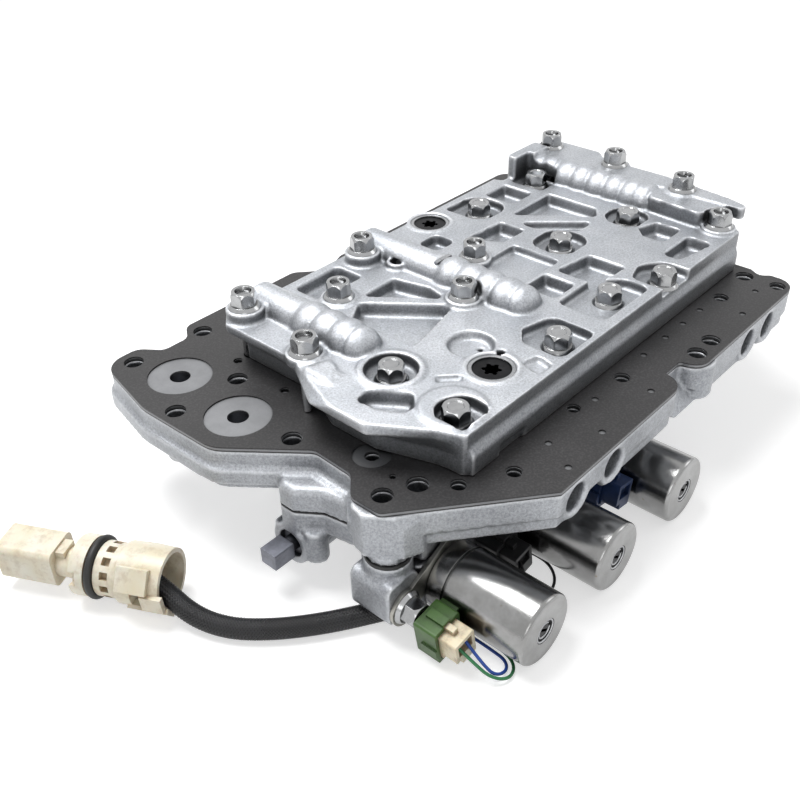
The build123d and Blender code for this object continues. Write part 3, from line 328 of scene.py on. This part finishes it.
def pick_faces(piece, test):
    """Selects only the faces whose centre, in the world, and normal pass a test."""
    bpy.ops.object.mode_set(mode="EDIT")
    bpy.ops.mesh.select_mode(type="FACE")
    bpy.ops.mesh.select_all(action="DESELECT")
    bpy.ops.object.mode_set(mode="OBJECT")
    for face in piece.data.polygons:
        face.select = test(piece.matrix_world @ face.center, face.normal)
    bpy.ops.object.mode_set(mode="EDIT")


def closed_ends(piece):
    """Fills the open ends of a tube and turns all its faces outwards."""
    bpy.ops.object.mode_set(mode="EDIT")
    bpy.ops.mesh.select_mode(type="EDGE")
    bpy.ops.mesh.select_all(action="DESELECT")
    bpy.ops.mesh.select_non_manifold()
    bpy.ops.mesh.fill_holes(sides=0)
    bpy.ops.mesh.select_all(action="SELECT")
    bpy.ops.mesh.normals_make_consistent(inside=False)
    bpy.ops.object.mode_set(mode="OBJECT")


def flange_bolt(name, length, rim, depth):
    """A bolt with its seat at the origin; its top is hollow inside a rim of this width."""
    add_cylinder, add_cone = bpy.ops.mesh.primitive_cylinder_add, bpy.ops.mesh.primitive_cone_add
    head = fresh(add_cylinder, vertices=6, radius=hexagon_width / math.sqrt(3),
                 depth=head_height, location=(0, 0, head_height / 2))
    crown = fresh(add_cone, vertices=48, radius1=crown_foot, radius2=crown_top,
                  depth=head_height, location=(0, 0, head_height / 2))
    joined_solid(head, crown, "INTERSECT")
    pick_faces(head, lambda c, n: n.z > 0.9 and c.z > head_height - 1e-5)
    bpy.ops.mesh.inset(thickness=rim)
    bpy.ops.mesh.extrude_region_move(TRANSFORM_OT_translate={"value": (0, 0, -depth)})
    bpy.ops.transform.resize(value=(0.9, 0.9, 1.0), center_override=(0, 0, 0))
    bpy.ops.object.mode_set(mode="OBJECT")
    flange = fresh(add_cone, vertices=48, radius1=flange_radius, radius2=flange_top,
                   depth=flange_height, location=(0, 0, flange_height / 2))
    shank = fresh(add_cylinder, vertices=32, radius=shank_radius,
                  depth=length + shank_overlap,
                  location=(0, 0, shank_overlap / 2 - length / 2))
    joined_solid(head, flange, "UNION")
    joined_solid(head, shank, "UNION")
    shaped(head, "BEVEL", width=soft_edge, segments=3, limit_method="ANGLE",
           angle_limit=math.radians(25))
    head.name = name
    head.data.transform(head.matrix_world)
    head.matrix_world = Matrix.Identity(4)
    return head


# %% Bolts on their seats
# Seats are measured from a corner of the cover; this moves them to the frame's origin
cad_shift = Vector((-0.0920372, -0.0625, 0.061))
# CAD node, length, rim and depth of the hollow, and the seats: x, y, z in mm and the turn
bolt_sets = {
    "short_bolts": ("cover_bolts_short", 0.030, 0.0015, 0.00035, [
        (14.5, 49.0, 14.5, 4), (9.0, 12.0, 14.5, 21), (75.5, 12.5, 14.5, 47),
        (119.5, 16.0, 14.5, 10), (149.0, 6.0, 14.5, 33), (148.5, 61.0, 14.5, 55),
        (191.0, 50.0, 15.5, 16), (199.0, 111.5, 16.5, 40), (153.5, 114.5, 14.5, 28),
    ]),
    "medium_bolts": ("cover_bolts_medium", 0.036, 0.0013, 0.0016, [
        (5.0, 124.0, 24.0, 8), (41.4, 104.3, 20.0, 25), (1.3, 83.5, 20.0, 50),
        (74.0, 121.0, 24.0, 36), (108.3, 82.1, 20.0, 14), (75.0, 61.4, 21.0, 43),
        (206.5, 9.3, 21.0, 20),
    ]),
    "long_bolts": ("cover_bolts_long", 0.044, 0.0013, 0.0016, [
        (226.0, 121.0, 28.0, 12), (226.0, 80.5, 28.0, 30), (219.5, 37.0, 28.0, 52),
    ]),
}
bolts = []
for name, (node, length, rim, depth, places) in bolt_sets.items():
    model = flange_bolt(name, length, rim, depth)
    copies = []
    for x, y, z, turn in places:
        copy = model.copy()
        copy.data = model.data.copy()
        place = Vector((x, y, z)) / 1000 + cad_shift
        turned = Matrix.Rotation(math.radians(turn), 4, "Z")
        copy.data.transform(Matrix.Translation(place) @ turned)
        bpy.context.scene.collection.objects.link(copy)
        copies.append(copy)
    bpy.data.objects.remove(model)
    bpy.ops.object.select_all(action="DESELECT")
    for copy in copies:
        copy.select_set(True)
    bpy.context.view_layer.objects.active = copies[0]
    bpy.ops.object.join()
    bpy.ops.object.shade_smooth_by_angle(angle=math.radians(35))
    bolts.append(copies[0])
    bolts[-1].name = name
    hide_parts(node)
    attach(bolts[-1], "valve_body")
    print(name, len(places), "bolts,", len(bolts[-1].data.polygons), "faces")

# %% [markdown]
# In the end of each solenoid a snap ring sits in the groove of the adjuster, and a crimped
# rim holds the adjuster in the can. The snap ring is a torus with a gap, laid on its side,
# and the rim is a whole one.

# %% Snap rings
can_ends = [(-5.5, -43.0, -46.0), (43.8, -43.0, -46.0), (96.7, -43.0, -46.0)]
on_side = Matrix.Rotation(math.radians(90), 4, "X")
end_rings = []


def set_in_can(ring, name, place, inset, tilt):
    """Turns a ring and puts it in the end of its can, this many millimetres in."""
    at = (Vector(place) + Vector((0, inset, 0))) / 1000 + cad_shift
    ring.data.transform(Matrix.Translation(at) @ tilt)
    ring.name = name
    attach(ring, "valve_body")
    end_rings.append(ring)


for number, place in enumerate(can_ends, 1):
    ring = fresh(bpy.ops.mesh.primitive_torus_add, major_radius=0.0033, minor_radius=0.00042,
                 major_segments=56, minor_segments=12, location=(0, 0, 0))
    pick_faces(ring, lambda c, n: c.x > 0.0022 and abs(c.y) < 0.0012)
    bpy.ops.mesh.delete(type="FACE")
    closed_ends(ring)
    bpy.ops.object.shade_smooth_by_angle(angle=math.radians(40))
    tilt = on_side @ Matrix.Rotation(math.radians(25), 4, "Z")
    set_in_can(ring, f"snap_ring_{number}", place, 0.9, tilt)
print("snap rings:", [ring.name for ring in end_rings])

# %% Crimped rims
for number, place in enumerate(can_ends, 1):
    rim = fresh(bpy.ops.mesh.primitive_torus_add, major_radius=0.0049, minor_radius=0.00045,
                major_segments=64, minor_segments=12, location=(0, 0, 0))
    pick_faces(rim, lambda c, n: n.z > 0.9)
    bpy.ops.transform.resize(value=(1, 1, 0.9), center_override=(0, 0, 0))
    bpy.ops.object.mode_set(mode="OBJECT")
    bpy.ops.object.shade_smooth_by_angle(angle=math.radians(40))
    set_in_can(rim, f"crimped_rim_{number}", place, 0.46, on_side)
print("crimped rims:", len(can_ends))

# %% [markdown]
# Behind each spool, and round the well of each accumulator piston, stands a coil spring. The
# CAD holds only its space.

# %% One coil spring
spring_wire_diameter = 0.0011
coil_pitch = 0.0028


def coil_spring(name, radius, length):
    """A coil of round wire that stands on the origin, this wide outside and this long."""
    wire = spring_wire_diameter
    turns = max(3, round(length / coil_pitch))
    coil = fresh(bpy.ops.mesh.primitive_circle_add, vertices=10, radius=wire / 2,
                 location=(radius - wire / 2, 0, wire / 2), rotation=(math.radians(90), 0, 0))
    bpy.ops.object.transform_apply(location=True, rotation=True, scale=True)
    shaped(coil, "SCREW", axis="Z", angle=2 * math.pi, iterations=turns, steps=28,
           screw_offset=(length - wire) / turns)
    closed_ends(coil)
    bpy.ops.object.shade_smooth_by_angle(angle=math.radians(50))
    coil.name = name
    return coil


# %% Coil springs in their bores
spring_joints = {f"upper_spring_{n}": f"upper_spool_{n}_slide" for n in (1, 2, 3)}
spring_joints.update({f"lower_spring_{n}": f"lower_spool_{n}_slide" for n in (1, 2, 3, 4)})
spring_joints.update({f"accumulator_spring_{n}": f"accumulator_{n}_slide" for n in (1, 2)})
springs = []
for node, joint in spring_joints.items():
    low, high = (Vector(corner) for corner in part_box(node))
    upright = node.startswith("accumulator")
    length = (high.z - low.z) if upright else (high.y - low.y)
    coil = coil_spring(node + "_coil", (high.x - low.x) / 2, length)
    middle = (low + high) / 2
    if upright:
        foot, way, turned = Vector((middle.x, middle.y, low.z)), (0, 0, -1), Matrix()
    else:
        foot, way = Vector((middle.x, high.y, middle.z)), (0, 1, 0)
        turned = Matrix.Rotation(math.radians(90), 4, "X")
    coil.data.transform(Matrix.Translation(foot) @ turned)
    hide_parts(node)
    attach(coil, "valve_body")
    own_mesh(coil)
    springs.append(coil)
    print(coil.name, "is", round(length * 1000, 1), "mm long")

# %% [markdown]
# A die casting has no sharp edge or corner: the melt can't fill one, and blasting rounds what
# is left. The CAD castings are sharp, so each gets a soft double. A copy is remeshed into
# small voxels and smoothed, which rounds the edges and fills the corners by about a
# millimetre, and the flat stretches are thinned out again. First the bores of the sliding
# pieces are opened a little, so that the soft walls stay clear of them.

# %% Bores to open
bore_room = 0.0003
# Centre, radius, length and axis of each bore, in millimetres
upper_bores = [
    ((19.0, 101.5, 18.0), 5.5, 65.0, "y"),
    ((88.0, 86.5, 18.0), 5.0, 95.0, "y"),
    ((212.0, 92.5, 19.0), 5.5, 83.0, "y"),
]
lower_bores = [((x, 5.0, -11.0), 5.75, 76.0, "y") for x in (28.0, 54.0, 168.0, 188.0)]
lower_bores += [
    ((-25.8, 134.5, -10.1), 12.06, 16.2, "z"),
    ((-28.6, 93.5, -10.1), 12.06, 16.2, "z"),
]
bottom_bores = [((9.5, 58.3, -41.8), 6.0, 97.0, "x")]


def opened(piece, bores):
    """Cuts each bore a little wider than it is."""
    turns = {"x": (0, math.radians(90), 0), "y": (math.radians(90), 0, 0), "z": (0, 0, 0)}
    for centre, radius, length, axis in bores:
        drill = fresh(bpy.ops.mesh.primitive_cylinder_add, vertices=48,
                      radius=radius / 1000 + bore_room, depth=length / 1000,
                      location=Vector(centre) / 1000 + cad_shift, rotation=turns[axis])
        joined_solid(piece, drill, "DIFFERENCE")


# %% Soft castings
voxel = 0.0008


def soft_casting(node, bores, rounds, kept):
    """A copy of a casting with round edges; kept is the share of its triangles that stay."""
    cast = nodes[node].copy()
    cast.data = nodes[node].data.copy()
    cast.name = "soft_" + node
    bpy.context.scene.collection.objects.link(cast)
    bpy.ops.object.select_all(action="DESELECT")
    cast.select_set(True)
    bpy.context.view_layer.objects.active = cast
    bpy.ops.object.mode_set(mode="EDIT")
    bpy.ops.mesh.select_all(action="SELECT")
    bpy.ops.mesh.remove_doubles(threshold=1e-6)
    bpy.ops.object.mode_set(mode="OBJECT")
    opened(cast, bores)
    shaped(cast, "REMESH", mode="VOXEL", voxel_size=voxel)
    shaped(cast, "SMOOTH", factor=0.5, iterations=rounds)
    shaped(cast, "DECIMATE", ratio=kept)
    cast.select_set(True)
    bpy.ops.object.shade_smooth_by_angle(angle=math.radians(50))
    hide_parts(node)
    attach(cast, "valve_body")
    print(cast.name, len(cast.data.polygons), "faces")
    return cast


castings = {
    "upper_body": soft_casting("upper_body", upper_bores, 3, 0.5),
    "lower_body": soft_casting("lower_body", lower_bores, 2, 0.28),
    "bottom_body": soft_casting("bottom_body", bottom_bores, 2, 0.4),
}

# %% [markdown]
# Every finish is built from nodes, with a few short helpers. One turns a colour as it is
# written, in sRGB hex, to the linear values that the shader wants, and one adds any node
# with its settings and links. Pattern sizes are given in millimetres.

# %% Node helpers


def colour(text):
    """A colour written as sRGB hex, as linear red, green, blue and alpha."""
    parts = [int(text[i:i + 2], 16) / 255 for i in (1, 3, 5)]
    linear = [c / 12.92 if c <= 0.04045 else ((c + 0.055) / 1.055) ** 2.4 for c in parts]
    return (*linear, 1.0)


def grey(value):
    """A linear grey, as the stops of a colour ramp want it."""
    return (value, value, value, 1.0)


def per_mm(size):
    """Scale of a texture whose pattern repeats about every so many millimetres."""
    return 1000.0 / size


def feed(tree, node, inputs):
    """Gives each input its value, or the socket that feeds it."""
    for name, value in inputs.items():
        if isinstance(value, bpy.types.NodeSocket):
            tree.links.new(value, node.inputs[name])
        else:
            node.inputs[name].default_value = value


def add(tree, kind, inputs, stops=None, **settings):
    """Adds a shader node with its settings, its inputs and the stops of its colour ramp."""
    made = tree.nodes.new("ShaderNode" + kind)
    for name, value in settings.items():
        setattr(made, name, value)
    feed(tree, made, inputs)
    if stops:
        ramp = made.color_ramp
        ramp.elements[0].position, ramp.elements[0].color = stops[0]
        ramp.elements[1].position, ramp.elements[1].color = stops[-1]
        for position, value in stops[1:-1]:
            ramp.elements.new(position).color = value
    return made


def new_finish(name):
    """An empty material: its tree, its surface shader, and the object coordinates."""
    material = bpy.data.materials.new(name)
    material.use_nodes = True
    tree = material.node_tree
    shader = tree.nodes["Principled BSDF"]
    place = add(tree, "TexCoord", {}).outputs["Object"]
    return material, tree, shader, place


def dress(material, *names):
    """Puts one finish on all material slots of the named CAD nodes."""
    for name in names:
        node = nodes[name]
        if not node.material_slots:
            node.data.materials.append(material)
        for slot in node.material_slots:
            slot.material = material
    print(material.name, "on", ", ".join(names))


# A colour Mix node has three sockets of each name, so its colours go by number:
# 0 is the factor, 6 and 7 are the two colours, and output 2 is the mixed one.
COLOUR_MIX = {"data_type": "RGBA", "blend_type": "MIX"}
COLOUR_TIMES = {"data_type": "RGBA", "blend_type": "MULTIPLY"}


def corner_shadow(tree, clean, reach, stops):
    """The clean colour with painted shade, darker where the surface closes in on itself."""
    corner = add(tree, "AmbientOcclusion", {"Distance": reach}, samples=8).outputs["AO"]
    shadow = add(tree, "ValToRGB", {"Fac": corner}, stops=stops).outputs["Color"]
    return add(tree, "Mix", {0: 1.0, 6: clean, 7: shadow}, **COLOUR_TIMES).outputs[2]


# %% [markdown]
# Die-cast aluminium is shot out of a steel die and then blasted. It is a soft bright grey
# metal with a coarse sparkling grain and bright worn edges, and painted shade darkens its
# corners. Pointiness finds the edges, because the soft castings have points enough along
# them. Painted light makes the level faces brighter than the upright walls.

# %% Cast aluminium


def painted_top_light_and_worn_edges(tree, clean, walls, edge):
    """The clean colour with painted shade on the upright walls, and worn bright where the
    surface is bent.
    """
    shape = add(tree, "NewGeometry", {}).outputs
    rise = add(tree, "SeparateXYZ", {"Vector": shape["Normal"]}).outputs["Z"]
    # Painted shade: the steeper the face, the darker, down to the given wall brightness on
    # upright faces
    painted_top_light = add(tree, "ValToRGB", {"Fac": rise},
                  stops=[(0.05, grey(walls)), (0.92, grey(1.0))]).outputs["Color"]
    lit = add(tree, "Mix", {0: 1.0, 6: clean, 7: painted_top_light}, **COLOUR_TIMES).outputs[2]
    worn = add(tree, "ValToRGB", {"Fac": shape["Pointiness"]},
               stops=[(0.51, grey(0)), (0.57, grey(0.8))]).outputs["Color"]
    return add(tree, "Mix", {0: worn, 6: lit, 7: colour(edge)}, **COLOUR_MIX).outputs[2]


def cast_finish(name, light, dark, edge, grain, rough, walls):
    """Cast metal; walls is how bright painted shade leaves the upright faces beside the level
    ones.
    """
    material, tree, shader, place = new_finish(name)
    clouds = add(tree, "TexNoise", {"Vector": place, "Scale": per_mm(26), "Detail": 5.0,
                                    "Roughness": 0.62}).outputs["Fac"]
    speck = add(tree, "TexNoise", {"Vector": place, "Scale": per_mm(grain), "Detail": 4.0,
                                   "Roughness": 0.8}).outputs["Fac"]
    tone = add(tree, "ValToRGB", {"Fac": clouds},
               stops=[(0.34, colour(dark)), (0.66, colour(light))]).outputs["Color"]
    grit = add(tree, "ValToRGB", {"Fac": speck},
               stops=[(0.34, grey(0.6)), (0.66, grey(1.1))]).outputs["Color"]
    grained = add(tree, "Mix", {0: 1.0, 6: tone, 7: grit}, **COLOUR_TIMES).outputs[2]
    # Painted shade in the corners
    corner_shaded = corner_shadow(tree, grained, 0.010, [(0.2, grey(0.3)), (0.9, grey(1.0))])
    # Painted light on the level faces and painted shade on the upright walls; edges worn bright
    bright = painted_top_light_and_worn_edges(tree, corner_shaded, walls, edge)
    bump = add(tree, "Bump", {"Height": speck, "Distance": 0.0003,
                              "Strength": 0.75}).outputs["Normal"]
    gloss = add(tree, "MapRange", {"Value": speck, "To Min": rough - 0.15,
                                   "To Max": rough + 0.1}).outputs["Result"]
    feed(tree, shader, {"Base Color": bright, "Metallic": 0.75, "Roughness": gloss,
                        "Normal": bump})
    return material


# The three castings get tones that grow darker from the cover down to the bottom one. The last
# number is how bright painted shade leaves their upright walls.
cover_metal = cast_finish("blasted_cast_aluminium_cover", "#d0d3d8", "#bcc0c6", "#f0f1f4",
                          0.9, 0.36, 0.45)
body_metal = cast_finish("blasted_cast_aluminium_body", "#bfc2c7", "#a8abb0", "#e2e4e7",
                         1.0, 0.38, 0.9)
bottom_metal = cast_finish("darker_cast_aluminium_bottom", "#b6b9be", "#9da0a6", "#d6d8db",
                           1.1, 0.38, 0.85)
for node, material in (("upper_body", cover_metal), ("lower_body", body_metal),
                       ("bottom_body", bottom_metal)):
    castings[node].data.materials.clear()
    castings[node].data.materials.append(material)
    dress(material, node)

# %% [markdown]
# The gaskets are coated fibre sheet pressed on steel. They are charcoal and almost matt, with
# a fine speckle of fibre ends that catches the light. In large clouds they are rubbed a
# little lighter.

# %% Gasket sheet


def sheet_finish(name, light, dark, rough):
    """Matt sheet with a speckle of fibre ends and a rubbed cloud over it."""
    material, tree, shader, place = new_finish(name)
    speck = add(tree, "TexNoise", {"Vector": place, "Scale": per_mm(0.9),
                                   "Detail": 2.0}).outputs["Fac"]
    rubbed = add(tree, "TexNoise", {"Vector": place, "Scale": per_mm(40),
                                    "Detail": 6.0}).outputs["Fac"]
    fibre = add(tree, "ValToRGB", {"Fac": speck},
                stops=[(0.45, colour(dark)), (0.74, colour(light))]).outputs["Color"]
    cloud = add(tree, "ValToRGB", {"Fac": rubbed},
                stops=[(0.4, grey(0.82)), (0.7, grey(1.2))]).outputs["Color"]
    tone = add(tree, "Mix", {0: 1.0, 6: fibre, 7: cloud}, **COLOUR_TIMES).outputs[2]
    bump = add(tree, "Bump", {"Height": speck, "Distance": 0.00005,
                              "Strength": 0.6}).outputs["Normal"]
    gloss = add(tree, "MapRange", {"Value": rubbed, "To Min": rough - 0.1,
                                   "To Max": rough + 0.08}).outputs["Result"]
    feed(tree, shader, {"Base Color": tone, "Roughness": gloss, "Normal": bump, "IOR": 1.5})
    return material


gasket_sheet = sheet_finish("coated_gasket_sheet", "#393839", "#242324", 0.46)
dress(gasket_sheet, "upper_gasket", "lower_gasket", "bottom_gasket")

# %% [markdown]
# Bare metal comes in several finishes here. The separator plate is plain rolled sheet, the
# bolts are zinc plated, the cans are drawn and polished, and small parts are ground. One
# recipe makes them all, and the spools' aluminium, from a colour, a roughness and a grain.

# %% Steels


def rust_spots(tree, place, clean, amount):
    """The clean colour with small brown spots of rust in it."""
    rust = add(tree, "TexNoise", {"Vector": place, "Scale": per_mm(2.2), "Detail": 6.0,
                                  "Roughness": 0.7}).outputs["Fac"]
    where = add(tree, "ValToRGB", {"Fac": rust},
                stops=[(0.66 - amount, grey(0)), (0.72 - amount, grey(0.8))]).outputs["Color"]
    return add(tree, "Mix", {0: where, 6: clean, 7: colour("#7d6f5c")}, **COLOUR_MIX).outputs[2]


def steel_finish(name, light, dark, rough, grain, stretch=(1, 1, 1), round_mm=0.25, spots=0.0):
    """Bare metal: stretch lays the grain one way, and spots is how much rust it has."""
    material, tree, shader, place = new_finish(name)
    laid = add(tree, "Mapping", {"Vector": place, "Scale": stretch}).outputs["Vector"]
    brushed = add(tree, "TexNoise", {"Vector": laid, "Scale": per_mm(grain),
                                     "Detail": 3.0}).outputs["Fac"]
    clouds = add(tree, "TexNoise", {"Vector": place, "Scale": per_mm(9), "Detail": 5.0,
                                    "Roughness": 0.65}).outputs["Fac"]
    rounded = add(tree, "Bevel", {"Radius": round_mm / 1000}, samples=4).outputs["Normal"]
    tone = add(tree, "ValToRGB", {"Fac": clouds},
               stops=[(0.35, colour(dark)), (0.62, colour(light))]).outputs["Color"]
    bump = add(tree, "Bump", {"Height": brushed, "Distance": 0.00003, "Strength": 0.35,
                              "Normal": rounded}).outputs["Normal"]
    gloss = add(tree, "MapRange", {"Value": brushed, "To Min": rough * 0.75,
                                   "To Max": rough * 1.3}).outputs["Result"]
    if spots:
        tone = rust_spots(tree, place, tone, spots)
    # Painted shade in the corners of the bare metal
    tone = corner_shadow(tree, tone, 0.006, [(0.3, grey(0.22)), (0.95, grey(1.0))])
    feed(tree, shader, {"Base Color": tone, "Metallic": 1.0, "Roughness": gloss,
                        "Normal": bump})
    return material


plate_steel = steel_finish("rolled_steel_plate", "#858688", "#7d7e80", 0.5, 0.7, (1, 8, 1))
bolt_zinc = steel_finish("zinc_plated_bolt", "#b0b1b2", "#a3a4a5", 0.17, 0.6, round_mm=0.2)
can_steel = steel_finish("polished_steel_can", "#9c9c9c", "#8c8c8b", 0.17, 0.5, (1, 12, 1),
                         round_mm=0.5, spots=0.02)
bracket_steel = steel_finish("zinc_plated_bracket", "#bdbbb4", "#9b9992", 0.33, 0.8, spots=0.01)
ground_steel = steel_finish("ground_steel", "#b8b9bb", "#9fa1a4", 0.28, 0.4)
spring_wire = steel_finish("spring_wire", "#8d8f92", "#727478", 0.3, 0.3)
spool_metal = steel_finish("anodised_aluminium_spool", "#b0b2b7", "#989aa0", 0.3, 0.5)
dark_lug = steel_finish("forged_dark_steel", "#868891", "#6b6d74", 0.45, 0.8, round_mm=0.4)
plug_black = steel_finish("black_oxide_plug", "#2b2b2d", "#1d1d1f", 0.36, 0.6, round_mm=0.4)
dress(plate_steel, "separator_plate")
dress(bolt_zinc, "bottom_bolts", "bracket_bolt")
dress(bracket_steel, "solenoid_bracket")
dress(can_steel, "solenoid_can_1", "solenoid_can_2", "solenoid_can_3")
dress(ground_steel, "solenoid_noses", "valve_keys", "bore_plugs", "plug_rings")
dress(dark_lug, "manual_valve")
dress(plug_black, "solenoid_adjusters", "threaded_plugs")
for coil in springs:
    coil.data.materials.append(spring_wire)
dress(spool_metal, *[n for n in nodes if "_spool_" in n or "_piston_" in n])
for bolt in bolts:
    bolt.data.materials.append(bolt_zinc)
for ring in end_rings:
    ring.data.materials.append(ground_steel)

# %% [markdown]
# The rest is rubber and moulded plastic. The case connector is ivory nylon that has lain in
# hot oil, so it is stained brown in its corners. The sockets are green, black and navy blue.

# %% Plastics and rubber


def stain_and_corner_shade(tree, place, clean, stain_and_shade_colour, amount):
    """The clean colour, mixed in corners and in blotches towards a second colour. A brown one is
    an oil stain; a dark tone of the clean colour is painted shade.
    """
    corner = add(tree, "AmbientOcclusion", {"Distance": 0.004}, samples=8).outputs["AO"]
    spread = add(tree, "TexNoise", {"Vector": place, "Scale": per_mm(5), "Detail": 6.0,
                                    "Roughness": 0.7}).outputs["Fac"]
    deep = add(tree, "Math", {0: corner, 1: spread}, operation="MULTIPLY").outputs["Value"]
    where = add(tree, "ValToRGB", {"Fac": deep},
                stops=[(0.16, grey(amount)), (0.5, grey(0))]).outputs["Color"]
    return add(tree, "Mix", {0: where, 6: clean, 7: colour(stain_and_shade_colour)}, **COLOUR_MIX).outputs[2]


def moulded_finish(name, light, dark, rough, stain_and_shade_colour=None, amount=0.5, sub=0.0):
    """Plastic or rubber; sub is how much light passes under its surface."""
    material, tree, shader, place = new_finish(name)
    clouds = add(tree, "TexNoise", {"Vector": place, "Scale": per_mm(14),
                                    "Detail": 5.0}).outputs["Fac"]
    fine = add(tree, "TexNoise", {"Vector": place, "Scale": per_mm(0.6),
                                  "Detail": 2.0}).outputs["Fac"]
    rounded = add(tree, "Bevel", {"Radius": 0.0003}, samples=4).outputs["Normal"]
    tone = add(tree, "ValToRGB", {"Fac": clouds},
               stops=[(0.35, colour(dark)), (0.65, colour(light))]).outputs["Color"]
    bump = add(tree, "Bump", {"Height": fine, "Distance": 0.00003, "Strength": 0.4,
                              "Normal": rounded}).outputs["Normal"]
    gloss = add(tree, "MapRange", {"Value": clouds, "To Min": rough - 0.08,
                                   "To Max": rough + 0.08}).outputs["Result"]
    # Brown oil stain on the ivory parts; painted shade in the corners of the green and blue
    # sockets
    if stain_and_shade_colour:
        tone = stain_and_corner_shade(tree, place, tone, stain_and_shade_colour, amount)
    feed(tree, shader, {"Base Color": tone, "Roughness": gloss, "Normal": bump, "IOR": 1.5,
                        "Subsurface Weight": sub, "Subsurface Scale": 0.002})
    return material


ivory_nylon = moulded_finish("ivory_nylon", "#f0ebdb", "#e6dcc2", 0.36, "#94713f", 0.55, 0.1)
cream_nylon = moulded_finish("cream_nylon", "#f6ecd2", "#ead9b4", 0.42, "#7c5c34", 0.75, 0.12)
# On the green and blue sockets the dark corner colour is painted shade
green_nylon = moulded_finish("green_nylon", "#44692b", "#345220", 0.42, "#182310", 0.6)
blue_nylon = moulded_finish("navy_blue_nylon", "#223a66", "#18294c", 0.38, "#0b1428", 0.5)
black_nylon = moulded_finish("black_nylon", "#262627", "#1a1a1b", 0.42)
black_rubber = moulded_finish("black_rubber", "#1e1e1e", "#141414", 0.5)
sleeve_yarn = moulded_finish("woven_sleeve_yarn", "#242427", "#161618", 0.28)
sleeve_core = moulded_finish("sleeve_core", "#050505", "#030303", 0.8)
cover_green = moulded_finish("green_wire_cover", "#2e7a4a", "#24663c", 0.4)
cover_blue = moulded_finish("blue_wire_cover", "#2a4fa8", "#1f3f8c", 0.4)
cover_black = moulded_finish("black_wire_cover", "#202022", "#161618", 0.4)
tin_contact = steel_finish("tinned_contact", "#c7c3b6", "#a9a598", 0.25, 0.5)
dress(ivory_nylon, "connector_body", "connector_plug_end", "connector_collar")
dress(cream_nylon, "harness_plug_1")
dress(green_nylon, "solenoid_socket_1")
dress(black_nylon, "solenoid_socket_2", "harness_plug_2", "harness_cuff")
dress(blue_nylon, "solenoid_socket_3", "harness_plug_3")
dress(black_rubber, "connector_seal", "nose_seals", "foot_seal")
dress(tin_contact, "connector_pins")
sleeve.data.materials.append(sleeve_yarn)
sleeve.data.materials.append(sleeve_core)
for face in sleeve.data.polygons[:core_faces]:
    face.material_index = 1
wires["wire_green"].data.materials.append(cover_green)
wires["wire_blue"].data.materials.append(cover_blue)
wires["wire_black"].data.materials.append(cover_black)

# %% [markdown]
# A plain pale floor keeps the shadow. For the camera and for mirror rays the surroundings are
# white, as in a light tent, while the light itself comes from large soft lamps.

# %% Floor and surroundings


def seen_directly(tree):
    """1 for the rays of the camera, of mirrors and of glass, and 0 for all others."""
    rays = add(tree, "LightPath", {}).outputs
    seen = add(tree, "Math", {0: rays["Is Camera Ray"], 1: rays["Is Glossy Ray"]},
               operation="MAXIMUM").outputs["Value"]
    return add(tree, "Math", {0: seen, 1: rays["Is Transmission Ray"]},
               operation="MAXIMUM").outputs["Value"]


floor = fresh(bpy.ops.mesh.primitive_circle_add, vertices=64, radius=4.0, fill_type="NGON",
              location=(0, 0, 0))
floor.name = "studio_floor"
paper, tree, shader, place = new_finish("studio_paper")
glow = add(tree, "Math", {0: seen_directly(tree), 1: 0.56}, operation="MULTIPLY")
feed(tree, shader, {"Base Color": colour("#d8d8d8"), "Roughness": 0.9,
                    "Emission Color": (1, 1, 1, 1), "Emission Strength": glow.outputs["Value"]})
floor.data.materials.append(paper)
floor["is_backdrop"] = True

world = bpy.data.worlds.new("studio")
bpy.context.scene.world = world
world.use_nodes = True
tree = world.node_tree
level = add(tree, "MapRange", {"Value": seen_directly(tree), "To Min": 0.32, "To Max": 1.0})
feed(tree, tree.nodes["Background"], {"Color": (1, 1, 1, 1),
                                      "Strength": level.outputs["Result"]})
print("floor and world are ready")

# %% Lamps
lamp_size = 0.5
lamp_target = Vector((0, 0, 0.03))


def soft_lamp(name, place, power):
    """A square area lamp that faces the middle of the stack."""
    data = bpy.data.lights.new(name, "AREA")
    data.shape = "SQUARE"
    data.size = lamp_size
    data.energy = power
    lamp = bpy.data.objects.new(name, data)
    lamp.location = place
    lamp.rotation_euler = (lamp_target - Vector(place)).to_track_quat("-Z", "Y").to_euler()
    bpy.context.scene.collection.objects.link(lamp)
    return lamp


soft_lamp("key_lamp", (-0.15, 0.35, 1.0), 10.0)
soft_lamp("fill_lamp", (-0.9, -0.7, 0.5), 1.6)
soft_lamp("side_lamp", (0.8, -0.6, 0.6), 1.4)

# %% Sizes and finish
bpy.context.scene.view_settings.view_transform = "Standard"
low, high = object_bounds()
print("visual box", tuple(low), tuple(high))
